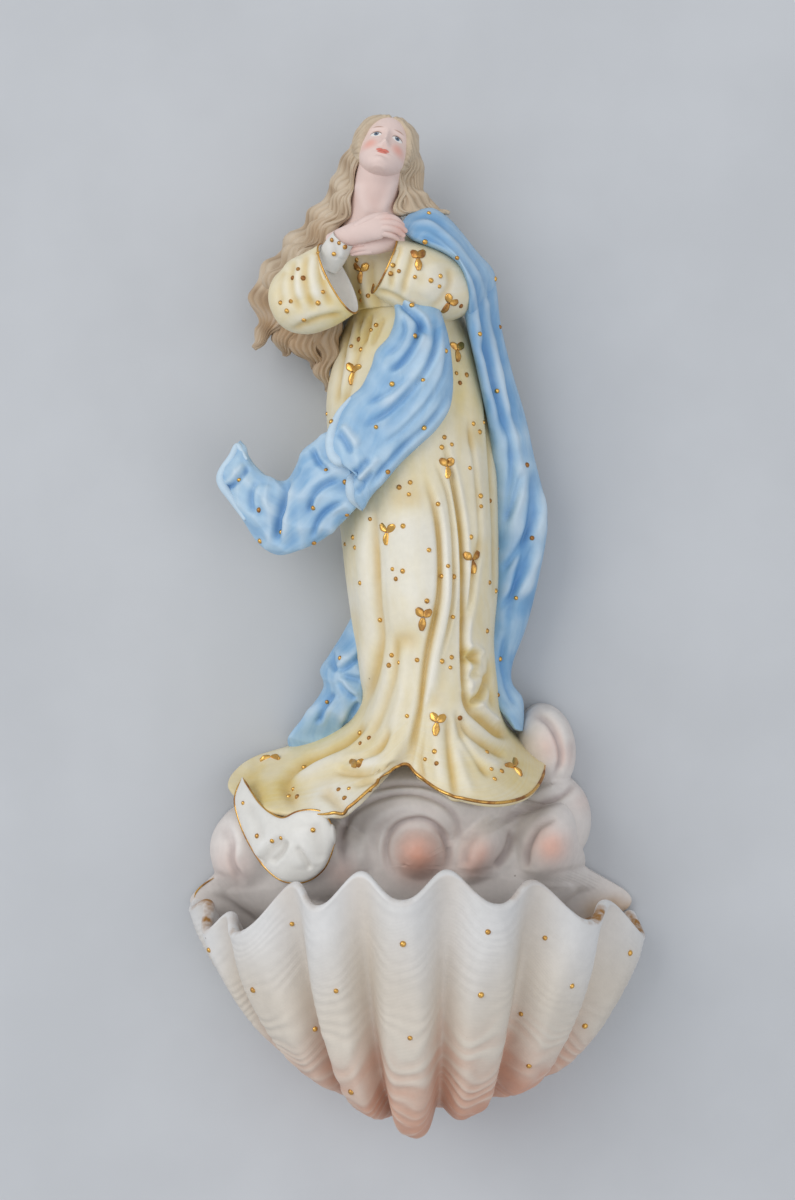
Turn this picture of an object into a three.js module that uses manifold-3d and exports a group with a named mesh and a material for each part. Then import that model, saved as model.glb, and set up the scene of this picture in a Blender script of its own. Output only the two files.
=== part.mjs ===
// A holy water stoup in tinted bisque porcelain: a robed figure stands on a bank of
// cloud over a scallop shell bowl. The castings are luted together and hang on one nail.
// Millimetres, +Z up. The front faces -Y and the flat back lies in the plane Y = 0.
// The origin is the middle of the nail hole in that back.
import * as THREE from 'three';
import { LoftGeometry } from 'three/addons/geometries/LoftGeometry.js';
import { mergeVertices } from 'three/addons/utils/BufferGeometryUtils.js';
import Module from 'manifold-3d';

const wasm = await Module();
wasm.setup();

// Driving dimensions
const SEAM = 0.3; // slip joint between two castings
const CAST_WALL = 4; // wall of the hollow robe castings
const BACK_WALL = 5; // flat wall at the back of every hollow casting
const ROBE_OVERRUN = 14; // the oval sections of the robe run this far behind the wall plane
const NAIL_HOLE_DIAMETER = 9;
const WELD = 1e-3; // vertices closer than this are one

// Shell bowl
const SHELL_HALF_WIDTH = 70.5;
const SHELL_PROJECTION = 74;
const SHELL_MIDDLE_X = 2;
const SHELL_BASE_Z = -253.5; // lowest level, under the front
const SHELL_BASE_RISE = 22; // how much higher the base lies at the sides
const SHELL_BASE_ROUND = 1.3; // 1 raises it straight towards the sides, more keeps it low in front
const SHELL_UMBO_DEPTH = 10; // where the ribs meet under the bowl, from the wall
const SHELL_RIM_END_Z = -193; // rim where it meets the wall
const SHELL_RIM_ARCH = 14; // rise of the rim from its ends to the front
const SHELL_WALL = 4;
const SHELL_LIP_RISE = 0.8; // inner edge of the rim above its outer edge
const SHELL_RIBS = 18; // ribs in a full turn, half of them in front of the wall
const SHELL_RIB_HEIGHT = 4.2; // from the mean surface to the top of a rib
const SHELL_RIB_LEAN = THREE.MathUtils.degToRad(45); // ribs stand out and down by this
const SHELL_RIB_TURN = THREE.MathUtils.degToRad(-2.7); // middle rib, from straight ahead
const SHELL_RIB_SPREAD = THREE.MathUtils.degToRad(14); // how far ribs to the right fan out at the rim
const SHELL_RIB_BREADTH = 2.6; // 2 makes ribs as broad as grooves, more makes them broader
const SHELL_RIB_STEPS = 6; // points on each rib
const SHELL_RINGS = 10;
// Section of the shell from the umbo to the rim: share of the reach, share of the fall.
const SHELL_SECTION = [
  [0.04, 1],
  [0.3, 0.99],
  [0.48, 0.98],
  [0.62, 0.9],
  [0.76, 0.69],
  [0.87, 0.43],
  [0.95, 0.19],
  [1, 0],
];

// Skirt of the robe: a column of oval sections that flares into the hem.
// Each row: middle x, height z, half width, depth of the front from the wall.
const SKIRT_COLUMN = [
  [-1, -9, 17, 35],
  [-1, -19, 21.5, 38],
  [-0.5, -36, 25, 42],
  [1.5, -54, 25.5, 45],
  [3, -72.5, 24.5, 46],
  [4, -90.5, 23.5, 46],
  [4.5, -108.5, 21.5, 45],
  [6, -124, 21, 46],
];
const SKIRT_POINTS = 96; // around each section
const FRONT_SPACING = 0.62; // their spacing at the front, as a share of the mean
const COLUMN_RINGS = 18;
const FLARE_RINGS = 6;
const FOLD_FADE = 12; // height over which a fold comes and goes at its ends
// Folds of the skirt: groove depth, below 0 for a ridge, half breadth in degrees, and the course
// down the column as height z and bearing in degrees from the front.
const SKIRT_FOLDS = [
  {
    depth: 1.6,
    breadth: 5,
    course: [[-58, -29], [-80, -36], [-107, -39], [-134, -58]],
  },
  {
    depth: 2.4,
    breadth: 4.2,
    course: [[-50, 6], [-67, 12.6], [-79, 14.4], [-94, 12.3], [-115, -0.5], [-140, -9]],
  },
  {
    depth: 2.5,
    breadth: 4.2,
    course: [[-40, 18.5], [-60, 21.9], [-74.5, 26.5], [-102.5, 29.3], [-140, 29]],
  },
  {
    depth: 1.5,
    breadth: 5,
    course: [[-24, 69], [-61, 60], [-81, 63], [-106, 69]],
  },
  {
    depth: -1.3,
    breadth: 12,
    course: [[-54, -8], [-112, -8]],
  },
];
const FLARE_DROP = 0.55; // share of the fall before the flare turns outwards
const HEM_THICKNESS = 2;
// Hem line, by the bearing in degrees from the front: bearing, x, depth, z.
const HEM = [
  [-180, 6, -8, -140],
  [-150, -18.5, -6, -139],
  [-120, -46, 3, -144.5],
  [-95, -55, 14, -152],
  [-75, -46.5, 31, -157.5],
  [-58, -34, 43, -159],
  [-38, -20.5, 51, -158],
  [-22, -11, 50, -151],
  [-9, -2, 44, -144.5],
  [0, 3, 48, -148],
  [12, 11, 55, -152.5],
  [33, 24, 56, -155],
  [58, 34.5, 45, -153.5],
  [90, 40, 28, -148],
  [120, 39.5, 8, -142],
  [150, 28, -6, -140],
];

// Bodice. Rows as for the skirt.
const BODICE = [
  [-10.5, 19, 7, 34],
  [-9.5, 14, 15, 36],
  [-8.5, 8, 19.5, 38],
  [-7.5, 0, 20, 38],
  [-3, -9, 17, 35],
];
const BODICE_POINTS = 24;
const BODICE_RINGS = 8;

// Head, leant back and to one side, with the hair cap behind it
const HEAD_PLACE = [-7.5, 30, 38.2]; // x, depth, z of its middle
const HEAD_LEAN_BACK = THREE.MathUtils.degToRad(30);
const HEAD_LEAN_SIDE = THREE.MathUtils.degToRad(14);
// From the chin to the crown: height, half width, reach to the face, reach to the back.
const HEAD = [
  [-10.6, 1.6, 7.4, -4.6],
  [-9.6, 3.4, 8.3, -1.5],
  [-7.4, 5.2, 8.6, 2],
  [-4, 6.6, 8.5, 6],
  [0, 7.5, 8.3, 8.6],
  [4, 7.7, 8.2, 9.4],
  [7.5, 6.4, 6.9, 8.4],
  [9.8, 3.8, 4, 5.6],
  [10.6, 1.2, 1, 2.2],
];
const HEAD_RINGS = 13;
const HEAD_POINTS = 16;
const NOSE_PLACE = [0, 8.5, -2.2]; // x, reach, height in the head
const NOSE_SIZE = [1.2, 1.5, 2.7]; // half width, half depth, half height
const NOSE_SLOPE = THREE.MathUtils.degToRad(-14);
const HAIR_CAP_PLACE = [0, -3, 1.8]; // x, reach, height in the head
const HAIR_CAP_SIZE = [10.2, 9.8, 11.2]; // half width, half depth, half height

// Cloud bank: overlapping puffs. Each row: x, depth, z, half width, half depth, half height, and
// how far the top leans to the viewer's right, in degrees.
const CLOUD_PUFFS = [
  [-3, 8, -178, 57, 28, 26, 0],
  [2, 2, -189.5, 68, 8, 13, 0],
  [2, 16, -158, 32, 24, 15, 0],
  [-1.5, 24, -172, 17, 14, 16.5, 0],
  [2.3, 34, -171.5, 8.3, 9.5, 8.5, 0],
  [20.5, 32, -171.5, 6.5, 9, 11, 28],
  [41, 26, -170, 9, 12, 13.5, 15],
  [-24, 28, -175, 15, 13, 12, 0],
  [-48, 15, -172.5, 13, 15, 13.5, 0],
  [42, 10, -142, 9, 13, 13.5, -8],
  [43.5, 10, -164, 12.3, 16, 14.5, 0],
];
const PUFF_POINTS = 18;
const PUFF_RINGS = 12;

// Limbs: rows of x, depth, z, half width in the front view, half depth.
const NECK = [
  [-10, 25, 12, 7.2, 7.5],
  [-10.8, 26, 20, 6, 6.2],
  [-9.8, 28, 27, 5.9, 6],
  [-8, 28, 34, 5.4, 6],
];
const RIGHT_HAND = [
  [-23, 43, 7.5, 2.6, 2.6],
  [-19.5, 45.5, 9.2, 2.9, 2.6],
  [-14.5, 46.5, 11, 4, 2.8],
  [-9, 46.5, 12.5, 4.2, 2.6],
  [-4.5, 45.5, 12.8, 3.2, 2.2],
  [-1.5, 44, 12, 1.6, 1.4],
];
const LEFT_HAND = [
  [1, 41, 6.8, 2.8, 2.6],
  [-4.5, 42, 7, 2.9, 2.6],
  [-10, 42, 7.2, 3.4, 2.6],
  [-15.5, 41.5, 7.4, 2.8, 2.2],
  [-18.5, 41, 7.4, 1.4, 1.4],
];
const UNDERSLEEVE = [
  [-27, 34, -3, 6.5, 4.5],
  [-22.6, 37.5, -0.6, 9.6, 6.6],
  [-19.6, 39.5, 0.8, 11.8, 8.4],
  [-17.4, 41, 0.6, 10.6, 8],
  [-15.8, 41.8, 0.2, 6, 4.6],
];
const RIGHT_SLEEVE = [
  [-42, 23, -4, 3, 3],
  [-40, 24.5, -4, 8.5, 8],
  [-34.5, 28, -5, 12.2, 10.5],
  [-28, 32, -3.8, 13.2, 11.2],
  [-21.8, 36.5, -1.4, 12, 10],
];
const LEFT_SLEEVE = [
  [18.5, 22, -3, 2.5, 3],
  [16.5, 23.5, -3, 6.5, 7],
  [10.5, 29, -2.5, 9.4, 9.6],
  [3.2, 35, -0.2, 10.6, 9.6],
  [-3, 39, 1.3, 9.6, 8.2],
  [-6.6, 41, 1.4, 8.8, 7],
];
const HEM_LINING = [
  [-50.5, 22, -151, 1.2, 2],
  [-48, 30, -159, 3.6, 3],
  [-43.5, 37, -166.5, 6.6, 4],
  [-37, 41, -170, 9.4, 4.6],
  [-30.5, 43, -169.5, 9.6, 4.6],
  [-25, 43, -167.5, 5.6, 3.6],
];
const MANTLE_SWAG = [
  [6, 34, -2, 5, 6],
  [4.5, 37, -14, 9, 7.5],
  [1.5, 40, -30, 12, 8.5],
  [-4, 42, -45, 12.3, 8.5],
  [-11.5, 41, -57, 11.5, 8],
  [-18, 39, -65, 8, 6],
];
const MANTLE_FLYING_END = [
  [-15, 32, -60, 8, 6],
  [-25, 30, -63.5, 13.5, 7.5],
  [-35, 26, -69, 11.5, 6.5],
  [-44, 23, -69, 11.5, 6],
  [-50.5, 21, -61.5, 8, 5],
  [-52.3, 20, -53, 2.8, 3],
  [-52, 20, -49, 1, 1.4],
];
const MANTLE_FALL = [
  [22, 21.5, -5, 4.5, 7.5],
  [23.8, 21.5, -17.5, 6.6, 9.6],
  [28, 19, -36, 7, 10.5],
  [32.5, 17, -54, 7.4, 11],
  [34, 16, -69, 8, 11.5],
  [33.5, 15, -84.5, 8, 11.5],
  [31, 15, -99.5, 7, 11],
  [28.5, 15, -112, 5.4, 10],
  [28.5, 15, -121, 5, 9.5],
  [31, 16, -131, 4.6, 9],
  [32.5, 17, -138, 3.4, 7],
];
const MANTLE_SHOULDER = [
  [-2.5, 37, 14, 2.4, 4],
  [5, 33, 13.4, 6, 8],
  [14, 28, 7, 7, 10],
  [20.5, 24, -2.5, 6.8, 10],
  [23, 22, -11, 6, 9.5],
];
const MANTLE_TAIL = [
  [-15.5, 12, -103, 1.6, 5],
  [-18.8, 12, -114, 6, 9],
  [-22, 13, -127, 9, 10.5],
  [-25, 14, -138, 11, 9.5],
  [-27, 14, -147, 12, 9],
];
const HAIR_FALL = [
  [-14.8, 23.5, 42, 3.2, 5.6],
  [-16.3, 23.5, 32.5, 5, 8],
  [-20.2, 22, 23, 6.6, 9.5],
  [-26.4, 20, 11.5, 9, 10.5],
  [-36, 17, 0, 11.6, 11],
  [-38, 14, -12, 11, 11],
  [-33.5, 12, -19.5, 8.6, 9.5],
  [-27.5, 10, -26, 4.4, 7],
  [-25.6, 9, -31.5, 1.2, 2.4],
];
const HAIR_LOCK = [
  [-1.5, 26, 43, 3.4, 5],
  [1.2, 26.5, 34, 3.6, 6],
  [1.6, 27.5, 26.5, 3.4, 6],
  [5, 28.5, 22, 3.6, 6],
  [9, 28, 18.5, 3, 5],
];
const LIMB_POINTS = 12;
const RINGS_PER_ROW = 2;

// Colours as fired
const PAINT = {
  robe: 0xf0e2b4,
  mantle: 0x8fc0ea,
  white: 0xf1ece6,
  shell: 0xeee2d8,
  cloud: 0xb9aeae,
  skin: 0xe9cfc6,
  hair: 0xbfa98a,
};

// Solids from surfaces

/** Welds a surface by position and drops the triangles that collapse. */
function weld(geometry) {
  const bare = new THREE.BufferGeometry();
  bare.setAttribute('position', geometry.getAttribute('position'));
  bare.setIndex(geometry.getIndex());
  const merged = mergeVertices(bare, WELD);
  const corners = merged.getIndex().array;
  const kept = [];
  for (let i = 0; i < corners.length; i += 3) {
    const [a, b, c] = corners.subarray(i, i + 3);
    if (a !== b && b !== c && c !== a) kept.push(a, b, c);
  }
  merged.setIndex(kept);
  return merged;
}

/** A closed surface as a solid. */
function solidOf(geometry) {
  const welded = weld(geometry);
  const made = new wasm.Mesh({
    numProp: 3,
    vertProperties: new Float32Array(welded.getAttribute('position').array),
    triVerts: new Uint32Array(welded.getIndex().array),
  });
  return new wasm.Manifold(made);
}

/** The same surface moved outwards along its normals. */
function grown(geometry, distance) {
  const wider = weld(geometry);
  wider.computeVertexNormals();
  const place = wider.getAttribute('position');
  const normal = wider.getAttribute('normal');
  for (let i = 0; i < place.count; i++) {
    place.setXYZ(
      i,
      place.getX(i) + normal.getX(i) * distance,
      place.getY(i) + normal.getY(i) * distance,
      place.getZ(i) + normal.getZ(i) * distance,
    );
  }
  return wider;
}

/** A solid's surface as a geometry. */
function geometryOf(solid) {
  const mesh = solid.getMesh();
  const geometry = new THREE.BufferGeometry();
  const places = new Float32Array(mesh.numVert * 3);
  for (let i = 0; i < mesh.numVert; i++) {
    places.set(mesh.vertProperties.subarray(i * mesh.numProp, i * mesh.numProp + 3), i * 3);
  }
  geometry.setAttribute('position', new THREE.BufferAttribute(places, 3));
  geometry.setIndex(new THREE.BufferAttribute(mesh.triVerts, 1));
  geometry.computeVertexNormals();
  return geometry;
}

/** The largest connected body of a solid. */
function largest(solid) {
  return solid.decompose().reduce((best, body) => (body.volume() > best.volume() ? body : best));
}

const ROOM = 400; // larger than the whole part

/** A block that fills everything at least this far in front of the wall. */
function spaceInFront(depth) {
  return solidOf(new THREE.BoxGeometry(ROOM, ROOM, 2 * ROOM).translate(0, -depth - ROOM / 2, 0));
}

// Rows of numbers read as smooth curves

/** The value at t of the cubic through b (t = 0) and c (t = 1), with neighbours a and d. */
function cubic(a, b, c, d, t) {
  const bend = 2 * b - 2 * c + (c - a) / 2 + (d - b) / 2;
  const lift = 3 * (c - b) - (c - a) - (d - b) / 2;
  return b + (t * (c - a)) / 2 + t * t * lift + t * t * t * bend;
}

/** Resamples rows of numbers on a smooth curve, with this many samples. */
function smoothRows(rows, count) {
  const last = rows.length - 1;
  return Array.from({ length: count }, (_, i) => {
    const at = (i / (count - 1)) * last;
    const k = Math.min(Math.floor(at), last - 1);
    const near = [k - 1, k, k + 1, k + 2].map((j) => rows[THREE.MathUtils.clamp(j, 0, last)]);
    return rows[0].map((_, n) => cubic(near[0][n], near[1][n], near[2][n], near[3][n], at - k));
  });
}

/** The row of a closed line at a bearing, where each row starts with its own bearing in degrees. */
function rowAtBearing(rows, bearing) {
  const count = rows.length;
  const after = rows.findIndex((row) => row[0] > bearing);
  const k = (after < 0 ? count : after) - 1;
  const pick = (j) => rows[(j + count) % count];
  const from = pick(k)[0];
  const to = k + 1 < count ? pick(k + 1)[0] : pick(0)[0] + 360;
  const t = (bearing - from) / (to - from);
  return rows[0].slice(1).map((_, n) => {
    const [a, b, c, d] = [k - 1, k, k + 1, k + 2].map((j) => pick(j)[n + 1]);
    return cubic(a, b, c, d, t);
  });
}

/** A closed loft through rings of points. */
function loft(rings) {
  return new LoftGeometry(rings, { capStart: true, capEnd: true });
}

/** An oval sweep through rows of x, depth, z, half width and half depth. */
function limb(rows) {
  const samples = smoothRows(rows, (rows.length - 1) * RINGS_PER_ROW + 1);
  const centres = samples.map(([x, depth, z]) => new THREE.Vector3(x, -depth, z));
  const front = new THREE.Vector3(0, -1, 0);
  const rings = samples.map(([, , , halfWidth, halfDepth], i) => {
    const ahead = centres[Math.min(i + 1, centres.length - 1)];
    const behind = centres[Math.max(i - 1, 0)];
    const course = ahead.clone().sub(behind).normalize();
    const side = course.clone().cross(front).normalize();
    const bulge = side.clone().cross(course);
    return Array.from({ length: LIMB_POINTS }, (_, j) => {
      const angle = (-2 * Math.PI * j) / LIMB_POINTS;
      return centres[i]
        .clone()
        .addScaledVector(side, halfWidth * Math.cos(angle))
        .addScaledVector(bulge, halfDepth * Math.sin(angle));
    });
  });
  return loft(rings);
}

// Robe

/** Bearings round a section from the back, at the front closer together by a share of the mean. */
function bearings(points, frontSpacing) {
  return Array.from({ length: points }, (_, j) => {
    const turn = (2 * j) / points - 1;
    return Math.PI * turn * (frontSpacing + (1 - frontSpacing) * turn * turn);
  });
}

/** One oval section of a robe casting, drawn in by inset and by the depth of its folds. */
function robeRing([x, z, halfWidth, front], around, inset, foldDepth) {
  const middle = (front - ROBE_OVERRUN) / 2;
  const halfDepth = (front + ROBE_OVERRUN) / 2;
  return around.map((bearing) => {
    const drawnIn = inset + foldDepth(bearing, z);
    return new THREE.Vector3(
      x + (halfWidth - drawnIn) * Math.sin(bearing),
      -middle - (halfDepth - drawnIn) * Math.cos(bearing),
      z,
    );
  });
}

/** Depth of the skirt's folds at a bearing and a height: bell-shaped across each fold's course. */
function skirtFolds(bearing, z) {
  const degrees = THREE.MathUtils.radToDeg(bearing);
  return SKIRT_FOLDS.reduce((sum, { depth, breadth, course }) => {
    const top = course[0][0];
    const foot = course[course.length - 1][0];
    const at = course.findIndex(([low]) => low <= z);
    if (at < 1) return sum;
    const [[above, from], [below, to]] = [course[at - 1], course[at]];
    const middle = THREE.MathUtils.mapLinear(z, above, below, from, to);
    const fade = THREE.MathUtils.smoothstep(Math.min(top - z, z - foot), 0, FOLD_FADE);
    return sum + depth * fade * Math.exp(-(((degrees - middle) / breadth) ** 2));
  }, 0);
}

const skirtAround = bearings(SKIRT_POINTS, FRONT_SPACING);
const skirtRows = smoothRows(SKIRT_COLUMN, COLUMN_RINGS);
const skirtRing = (row, inset) => robeRing(row, skirtAround, inset, skirtFolds);

/** The skirt: column sections, then a flare that falls to the hem line, then the underside. */
function skirtShape() {
  const rings = skirtRows.map((row) => skirtRing(row, 0));
  const top = rings[rings.length - 1];
  const hem = skirtAround.map((bearing) => {
    const [x, depth, z] = rowAtBearing(HEM, THREE.MathUtils.radToDeg(bearing));
    return new THREE.Vector3(x, -depth, z);
  });
  for (let i = 1; i <= FLARE_RINGS; i++) {
    const t = i / FLARE_RINGS;
    rings.push(
      top.map((start, j) => {
        const bend = start.clone();
        bend.z += FLARE_DROP * (hem[j].z - start.z);
        return new THREE.QuadraticBezierCurve3(start, bend, hem[j]).getPoint(t);
      }),
    );
  }
  const under = new THREE.Vector3();
  hem.forEach((point) => under.addScaledVector(point, 1 / hem.length));
  for (const share of [1, 0.5]) {
    rings.push(
      hem.map((point) => {
        const inner = under.clone().lerp(point, share);
        inner.z = Math.min(point.z, inner.z) - HEM_THICKNESS;
        return inner;
      }),
    );
  }
  return loft(rings.reverse());
}

/** The space inside the skirt, open at the waist. */
function skirtHollow() {
  const rings = skirtRows.map((row) => skirtRing(row, CAST_WALL));
  const mouth = rings[0].map((point) => point.clone().setZ(point.z + CAST_WALL));
  return loft([mouth, ...rings].reverse());
}

const bodiceRows = smoothRows(BODICE, BODICE_RINGS);
const bodiceAround = bearings(BODICE_POINTS, 1);
const bodiceRing = (row, inset) => robeRing(row, bodiceAround, inset, () => 0);

/** The bodice from its waist to the base of the neck. */
function bodiceShape() {
  return loft(bodiceRows.map((row) => bodiceRing(row, 0)).reverse());
}

/** The space inside the bodice, open at the waist. */
function bodiceHollow() {
  const shoulders = bodiceRows[0][1] - 2 * CAST_WALL;
  const rings = bodiceRows
    .filter((row) => row[1] < shoulders)
    .map((row) => bodiceRing(row, CAST_WALL));
  const mouth = rings[rings.length - 1].map((point) => point.clone().setZ(point.z - CAST_WALL));
  return loft([...rings, mouth].reverse());
}

/** The nail hole through the back wall of the bodice. */
function nailHole() {
  const drill = new THREE.CylinderGeometry(
    NAIL_HOLE_DIAMETER / 2,
    NAIL_HOLE_DIAMETER / 2,
    4 * BACK_WALL,
    24,
  );
  return solidOf(drill);
}

// Shell bowl

/** How far a rib at this bearing has fanned out at the rim. */
function ribSpread(bearing) {
  return SHELL_RIB_SPREAD * Math.max(0, Math.sin(bearing)) ** 2;
}

/** A point of the shell at a bearing from the front and a place in its section, inset into the wall. */
function shellPoint(bearing, [share, fall], inset) {
  const ahead = Math.max(0, Math.cos(bearing));
  const aside = ahead > 0 ? Math.abs(Math.sin(bearing)) ** SHELL_BASE_ROUND : 1;
  const rimZ = SHELL_RIM_END_Z + SHELL_RIM_ARCH * ahead ** 2;
  const spreadIn = Math.min(1, 2 * share);
  const baseZ = SHELL_BASE_Z + SHELL_BASE_RISE * aside * spreadIn;
  const turn = (SHELL_RIBS / 2) * (bearing - share * ribSpread(bearing) - SHELL_RIB_TURN);
  const wave = 1 - 2 * Math.abs(Math.sin(turn)) ** SHELL_RIB_BREADTH;
  const rib = SHELL_RIB_HEIGHT * spreadIn * wave;
  const out = rib * Math.cos(SHELL_RIB_LEAN);
  const reach = (SHELL_PROJECTION - inset) * share + out;
  const spread = (SHELL_HALF_WIDTH - inset) * share + out;
  return new THREE.Vector3(
    SHELL_MIDDLE_X + spread * Math.sin(bearing),
    -SHELL_UMBO_DEPTH * (1 - share) - reach * Math.cos(bearing),
    rimZ - (rimZ - baseZ - inset) * fall - rib * Math.sin(SHELL_RIB_LEAN),
  );
}

/** One ring of the shell. */
function shellRing(place, inset) {
  const count = SHELL_RIBS * SHELL_RIB_STEPS;
  return Array.from({ length: count }, (_, j) => {
    const even = SHELL_RIB_TURN + (2 * Math.PI * j) / count - Math.PI;
    return shellPoint(even + ribSpread(even), place, inset);
  });
}

const shellSection = smoothRows(SHELL_SECTION, SHELL_RINGS);

/** The shell filled to its rim, with clearance all round. */
function shellFilled(clearance) {
  const outside = shellSection.map((place) => shellRing(place, -clearance));
  const lip = shellRing(shellSection[SHELL_RINGS - 1], SHELL_WALL);
  outside[SHELL_RINGS - 1].forEach((point) => point.setZ(point.z + clearance));
  lip.forEach((point) => point.setZ(point.z + SHELL_LIP_RISE + clearance));
  return solidOf(loft([...outside, lip]));
}

/** The room for the water, open upwards and closed by a flat wall at the back. */
function shellHollow(clearance) {
  const inside = shellSection.map((place) => shellRing(place, SHELL_WALL + clearance));
  const lip = inside[SHELL_RINGS - 1];
  const above = lip.map((point) => point.clone().setZ(point.z + 2 * SHELL_RIM_ARCH));
  return solidOf(loft([...inside, above])).intersect(spaceInFront(BACK_WALL + clearance));
}

/** The bowl: the part of the shell in front of the wall, with the room for the water. */
function shellBowl(clearance) {
  return shellFilled(clearance).subtract(shellHollow(clearance)).intersect(spaceInFront(0));
}

// Head, hair and cloud

/** An ellipsoid of these half sizes. */
function ellipsoid(halfX, halfY, halfZ, points, rings) {
  return new THREE.SphereGeometry(1, points, rings)
    .rotateX(Math.PI / 2)
    .scale(halfX, halfY, halfZ);
}

/** Leans a shape that looks along -Y as the head leans, and puts it in the head's place. */
function asHead(geometry) {
  const [x, depth, z] = HEAD_PLACE;
  return geometry
    .rotateX(-HEAD_LEAN_BACK)
    .rotateY(HEAD_LEAN_SIDE)
    .translate(x, -depth, z);
}

/** The head from chin to crown, and a nose that grows out of the brow. */
function headShapes() {
  const skull = smoothRows(HEAD, HEAD_RINGS).map(([height, halfWidth, face, back]) =>
    Array.from({ length: HEAD_POINTS }, (_, j) => {
      const bearing = (2 * Math.PI * j) / HEAD_POINTS - Math.PI;
      const reach = (face - back) / 2 + ((face + back) / 2) * Math.cos(bearing);
      return new THREE.Vector3(halfWidth * Math.sin(bearing), -reach, height);
    }),
  );
  const [x, reach, height] = NOSE_PLACE;
  const nose = ellipsoid(...NOSE_SIZE, 10, 8).rotateX(NOSE_SLOPE).translate(x, -reach, height);
  return [loft(skull), nose].map(asHead);
}

/** The hair over the crown and the back of the head. */
function hairCapShape() {
  const [x, reach, height] = HAIR_CAP_PLACE;
  return asHead(ellipsoid(...HAIR_CAP_SIZE, 18, 12).translate(x, -reach, height));
}

/** The puffs of the cloud. */
function cloudShapes() {
  return CLOUD_PUFFS.map(([x, depth, z, halfWidth, halfDepth, halfHeight, lean]) =>
    ellipsoid(halfWidth, halfDepth, halfHeight, PUFF_POINTS, PUFF_RINGS)
      .rotateY(THREE.MathUtils.degToRad(lean))
      .translate(x, -depth, z),
  );
}

// Castings, in the order in which they are luted: each is trimmed to those before it

/** Shapes joined into one solid, with clearance all round. */
const joined = (shapes) => (clearance) =>
  shapes.map((shape) => solidOf(grown(shape, clearance))).reduce((whole, next) => whole.add(next));

const CASTINGS = [
  { name: 'robe_bodice', paint: 'robe', solid: joined([bodiceShape()]) },
  { name: 'robe_skirt', paint: 'robe', solid: joined([skirtShape()]) },
  { name: 'shell_bowl', paint: 'shell', solid: shellBowl },
  { name: 'cloud_bank', paint: 'cloud', solid: joined(cloudShapes()) },
  { name: 'head', paint: 'skin', solid: joined(headShapes()) },
  { name: 'neck', paint: 'skin', solid: joined([limb(NECK)]) },
  { name: 'hair_cap', paint: 'hair', solid: joined([hairCapShape()]) },
  { name: 'left_hand', paint: 'skin', solid: joined([limb(LEFT_HAND)]) },
  { name: 'right_hand', paint: 'skin', solid: joined([limb(RIGHT_HAND)]) },
  { name: 'right_undersleeve', paint: 'white', solid: joined([limb(UNDERSLEEVE)]) },
  { name: 'right_sleeve', paint: 'robe', solid: joined([limb(RIGHT_SLEEVE)]) },
  { name: 'left_sleeve', paint: 'robe', solid: joined([limb(LEFT_SLEEVE)]) },
  { name: 'hem_lining', paint: 'white', solid: joined([limb(HEM_LINING)]) },
  { name: 'mantle_swag', paint: 'mantle', solid: joined([limb(MANTLE_SWAG)]) },
  { name: 'mantle_flying_end', paint: 'mantle', solid: joined([limb(MANTLE_FLYING_END)]) },
  { name: 'mantle_shoulder', paint: 'mantle', solid: joined([limb(MANTLE_SHOULDER)]) },
  { name: 'mantle_fall', paint: 'mantle', solid: joined([limb(MANTLE_FALL)]) },
  { name: 'mantle_tail', paint: 'mantle', solid: joined([limb(MANTLE_TAIL)]) },
  { name: 'hair_fall', paint: 'hair', solid: joined([limb(HAIR_FALL)]) },
  { name: 'hair_lock', paint: 'hair', solid: joined([limb(HAIR_LOCK)]) },
];

const HOLLOWS = {
  robe_bodice: solidOf(bodiceHollow()).intersect(spaceInFront(BACK_WALL)).add(nailHole()),
  robe_skirt: solidOf(skirtHollow()).intersect(spaceInFront(BACK_WALL)),
};

/** Builds every casting, trimmed to the wall plane and to the castings before it, grouped by paint. */
function buildStoup() {
  const stoup = new THREE.Group();
  const materials = Object.fromEntries(
    Object.entries(PAINT).map(([name, color]) => [
      name,
      new THREE.MeshStandardMaterial({ color, roughness: 0.6, metalness: 0 }),
    ]),
  );
  const groups = Object.fromEntries(Object.keys(PAINT).map((name) => [name, new THREE.Group()]));
  stoup.add(...Object.values(groups));
  const before = [];
  for (const { name, paint, solid } of CASTINGS) {
    let cast = solid(0).intersect(spaceInFront(0));
    for (const neighbour of before) cast = cast.subtract(neighbour);
    if (HOLLOWS[name]) cast = cast.subtract(HOLLOWS[name]);
    before.push(solid(SEAM));
    const mesh = new THREE.Mesh(geometryOf(largest(cast)), materials[paint]);
    mesh.name = name;
    groups[paint].add(mesh);
  }
  return stoup;
}

export default buildStoup();
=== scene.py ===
"""Holy water stoup in tinted bisque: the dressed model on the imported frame.

Lengths in the tables are millimetres in the frame of the CAD part: x to the viewer's right, z up, and
depth measured from the wall towards the viewer, so that y is minus the depth. Lines and places called
drawn are pixels of the picture, 795 wide and 1200 high, seen by the level camera of `Eye`.
"""

import logging
import math
from dataclasses import dataclass, field
from enum import Enum

import bpy
import numpy as np
from mathutils import Matrix, Vector


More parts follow.
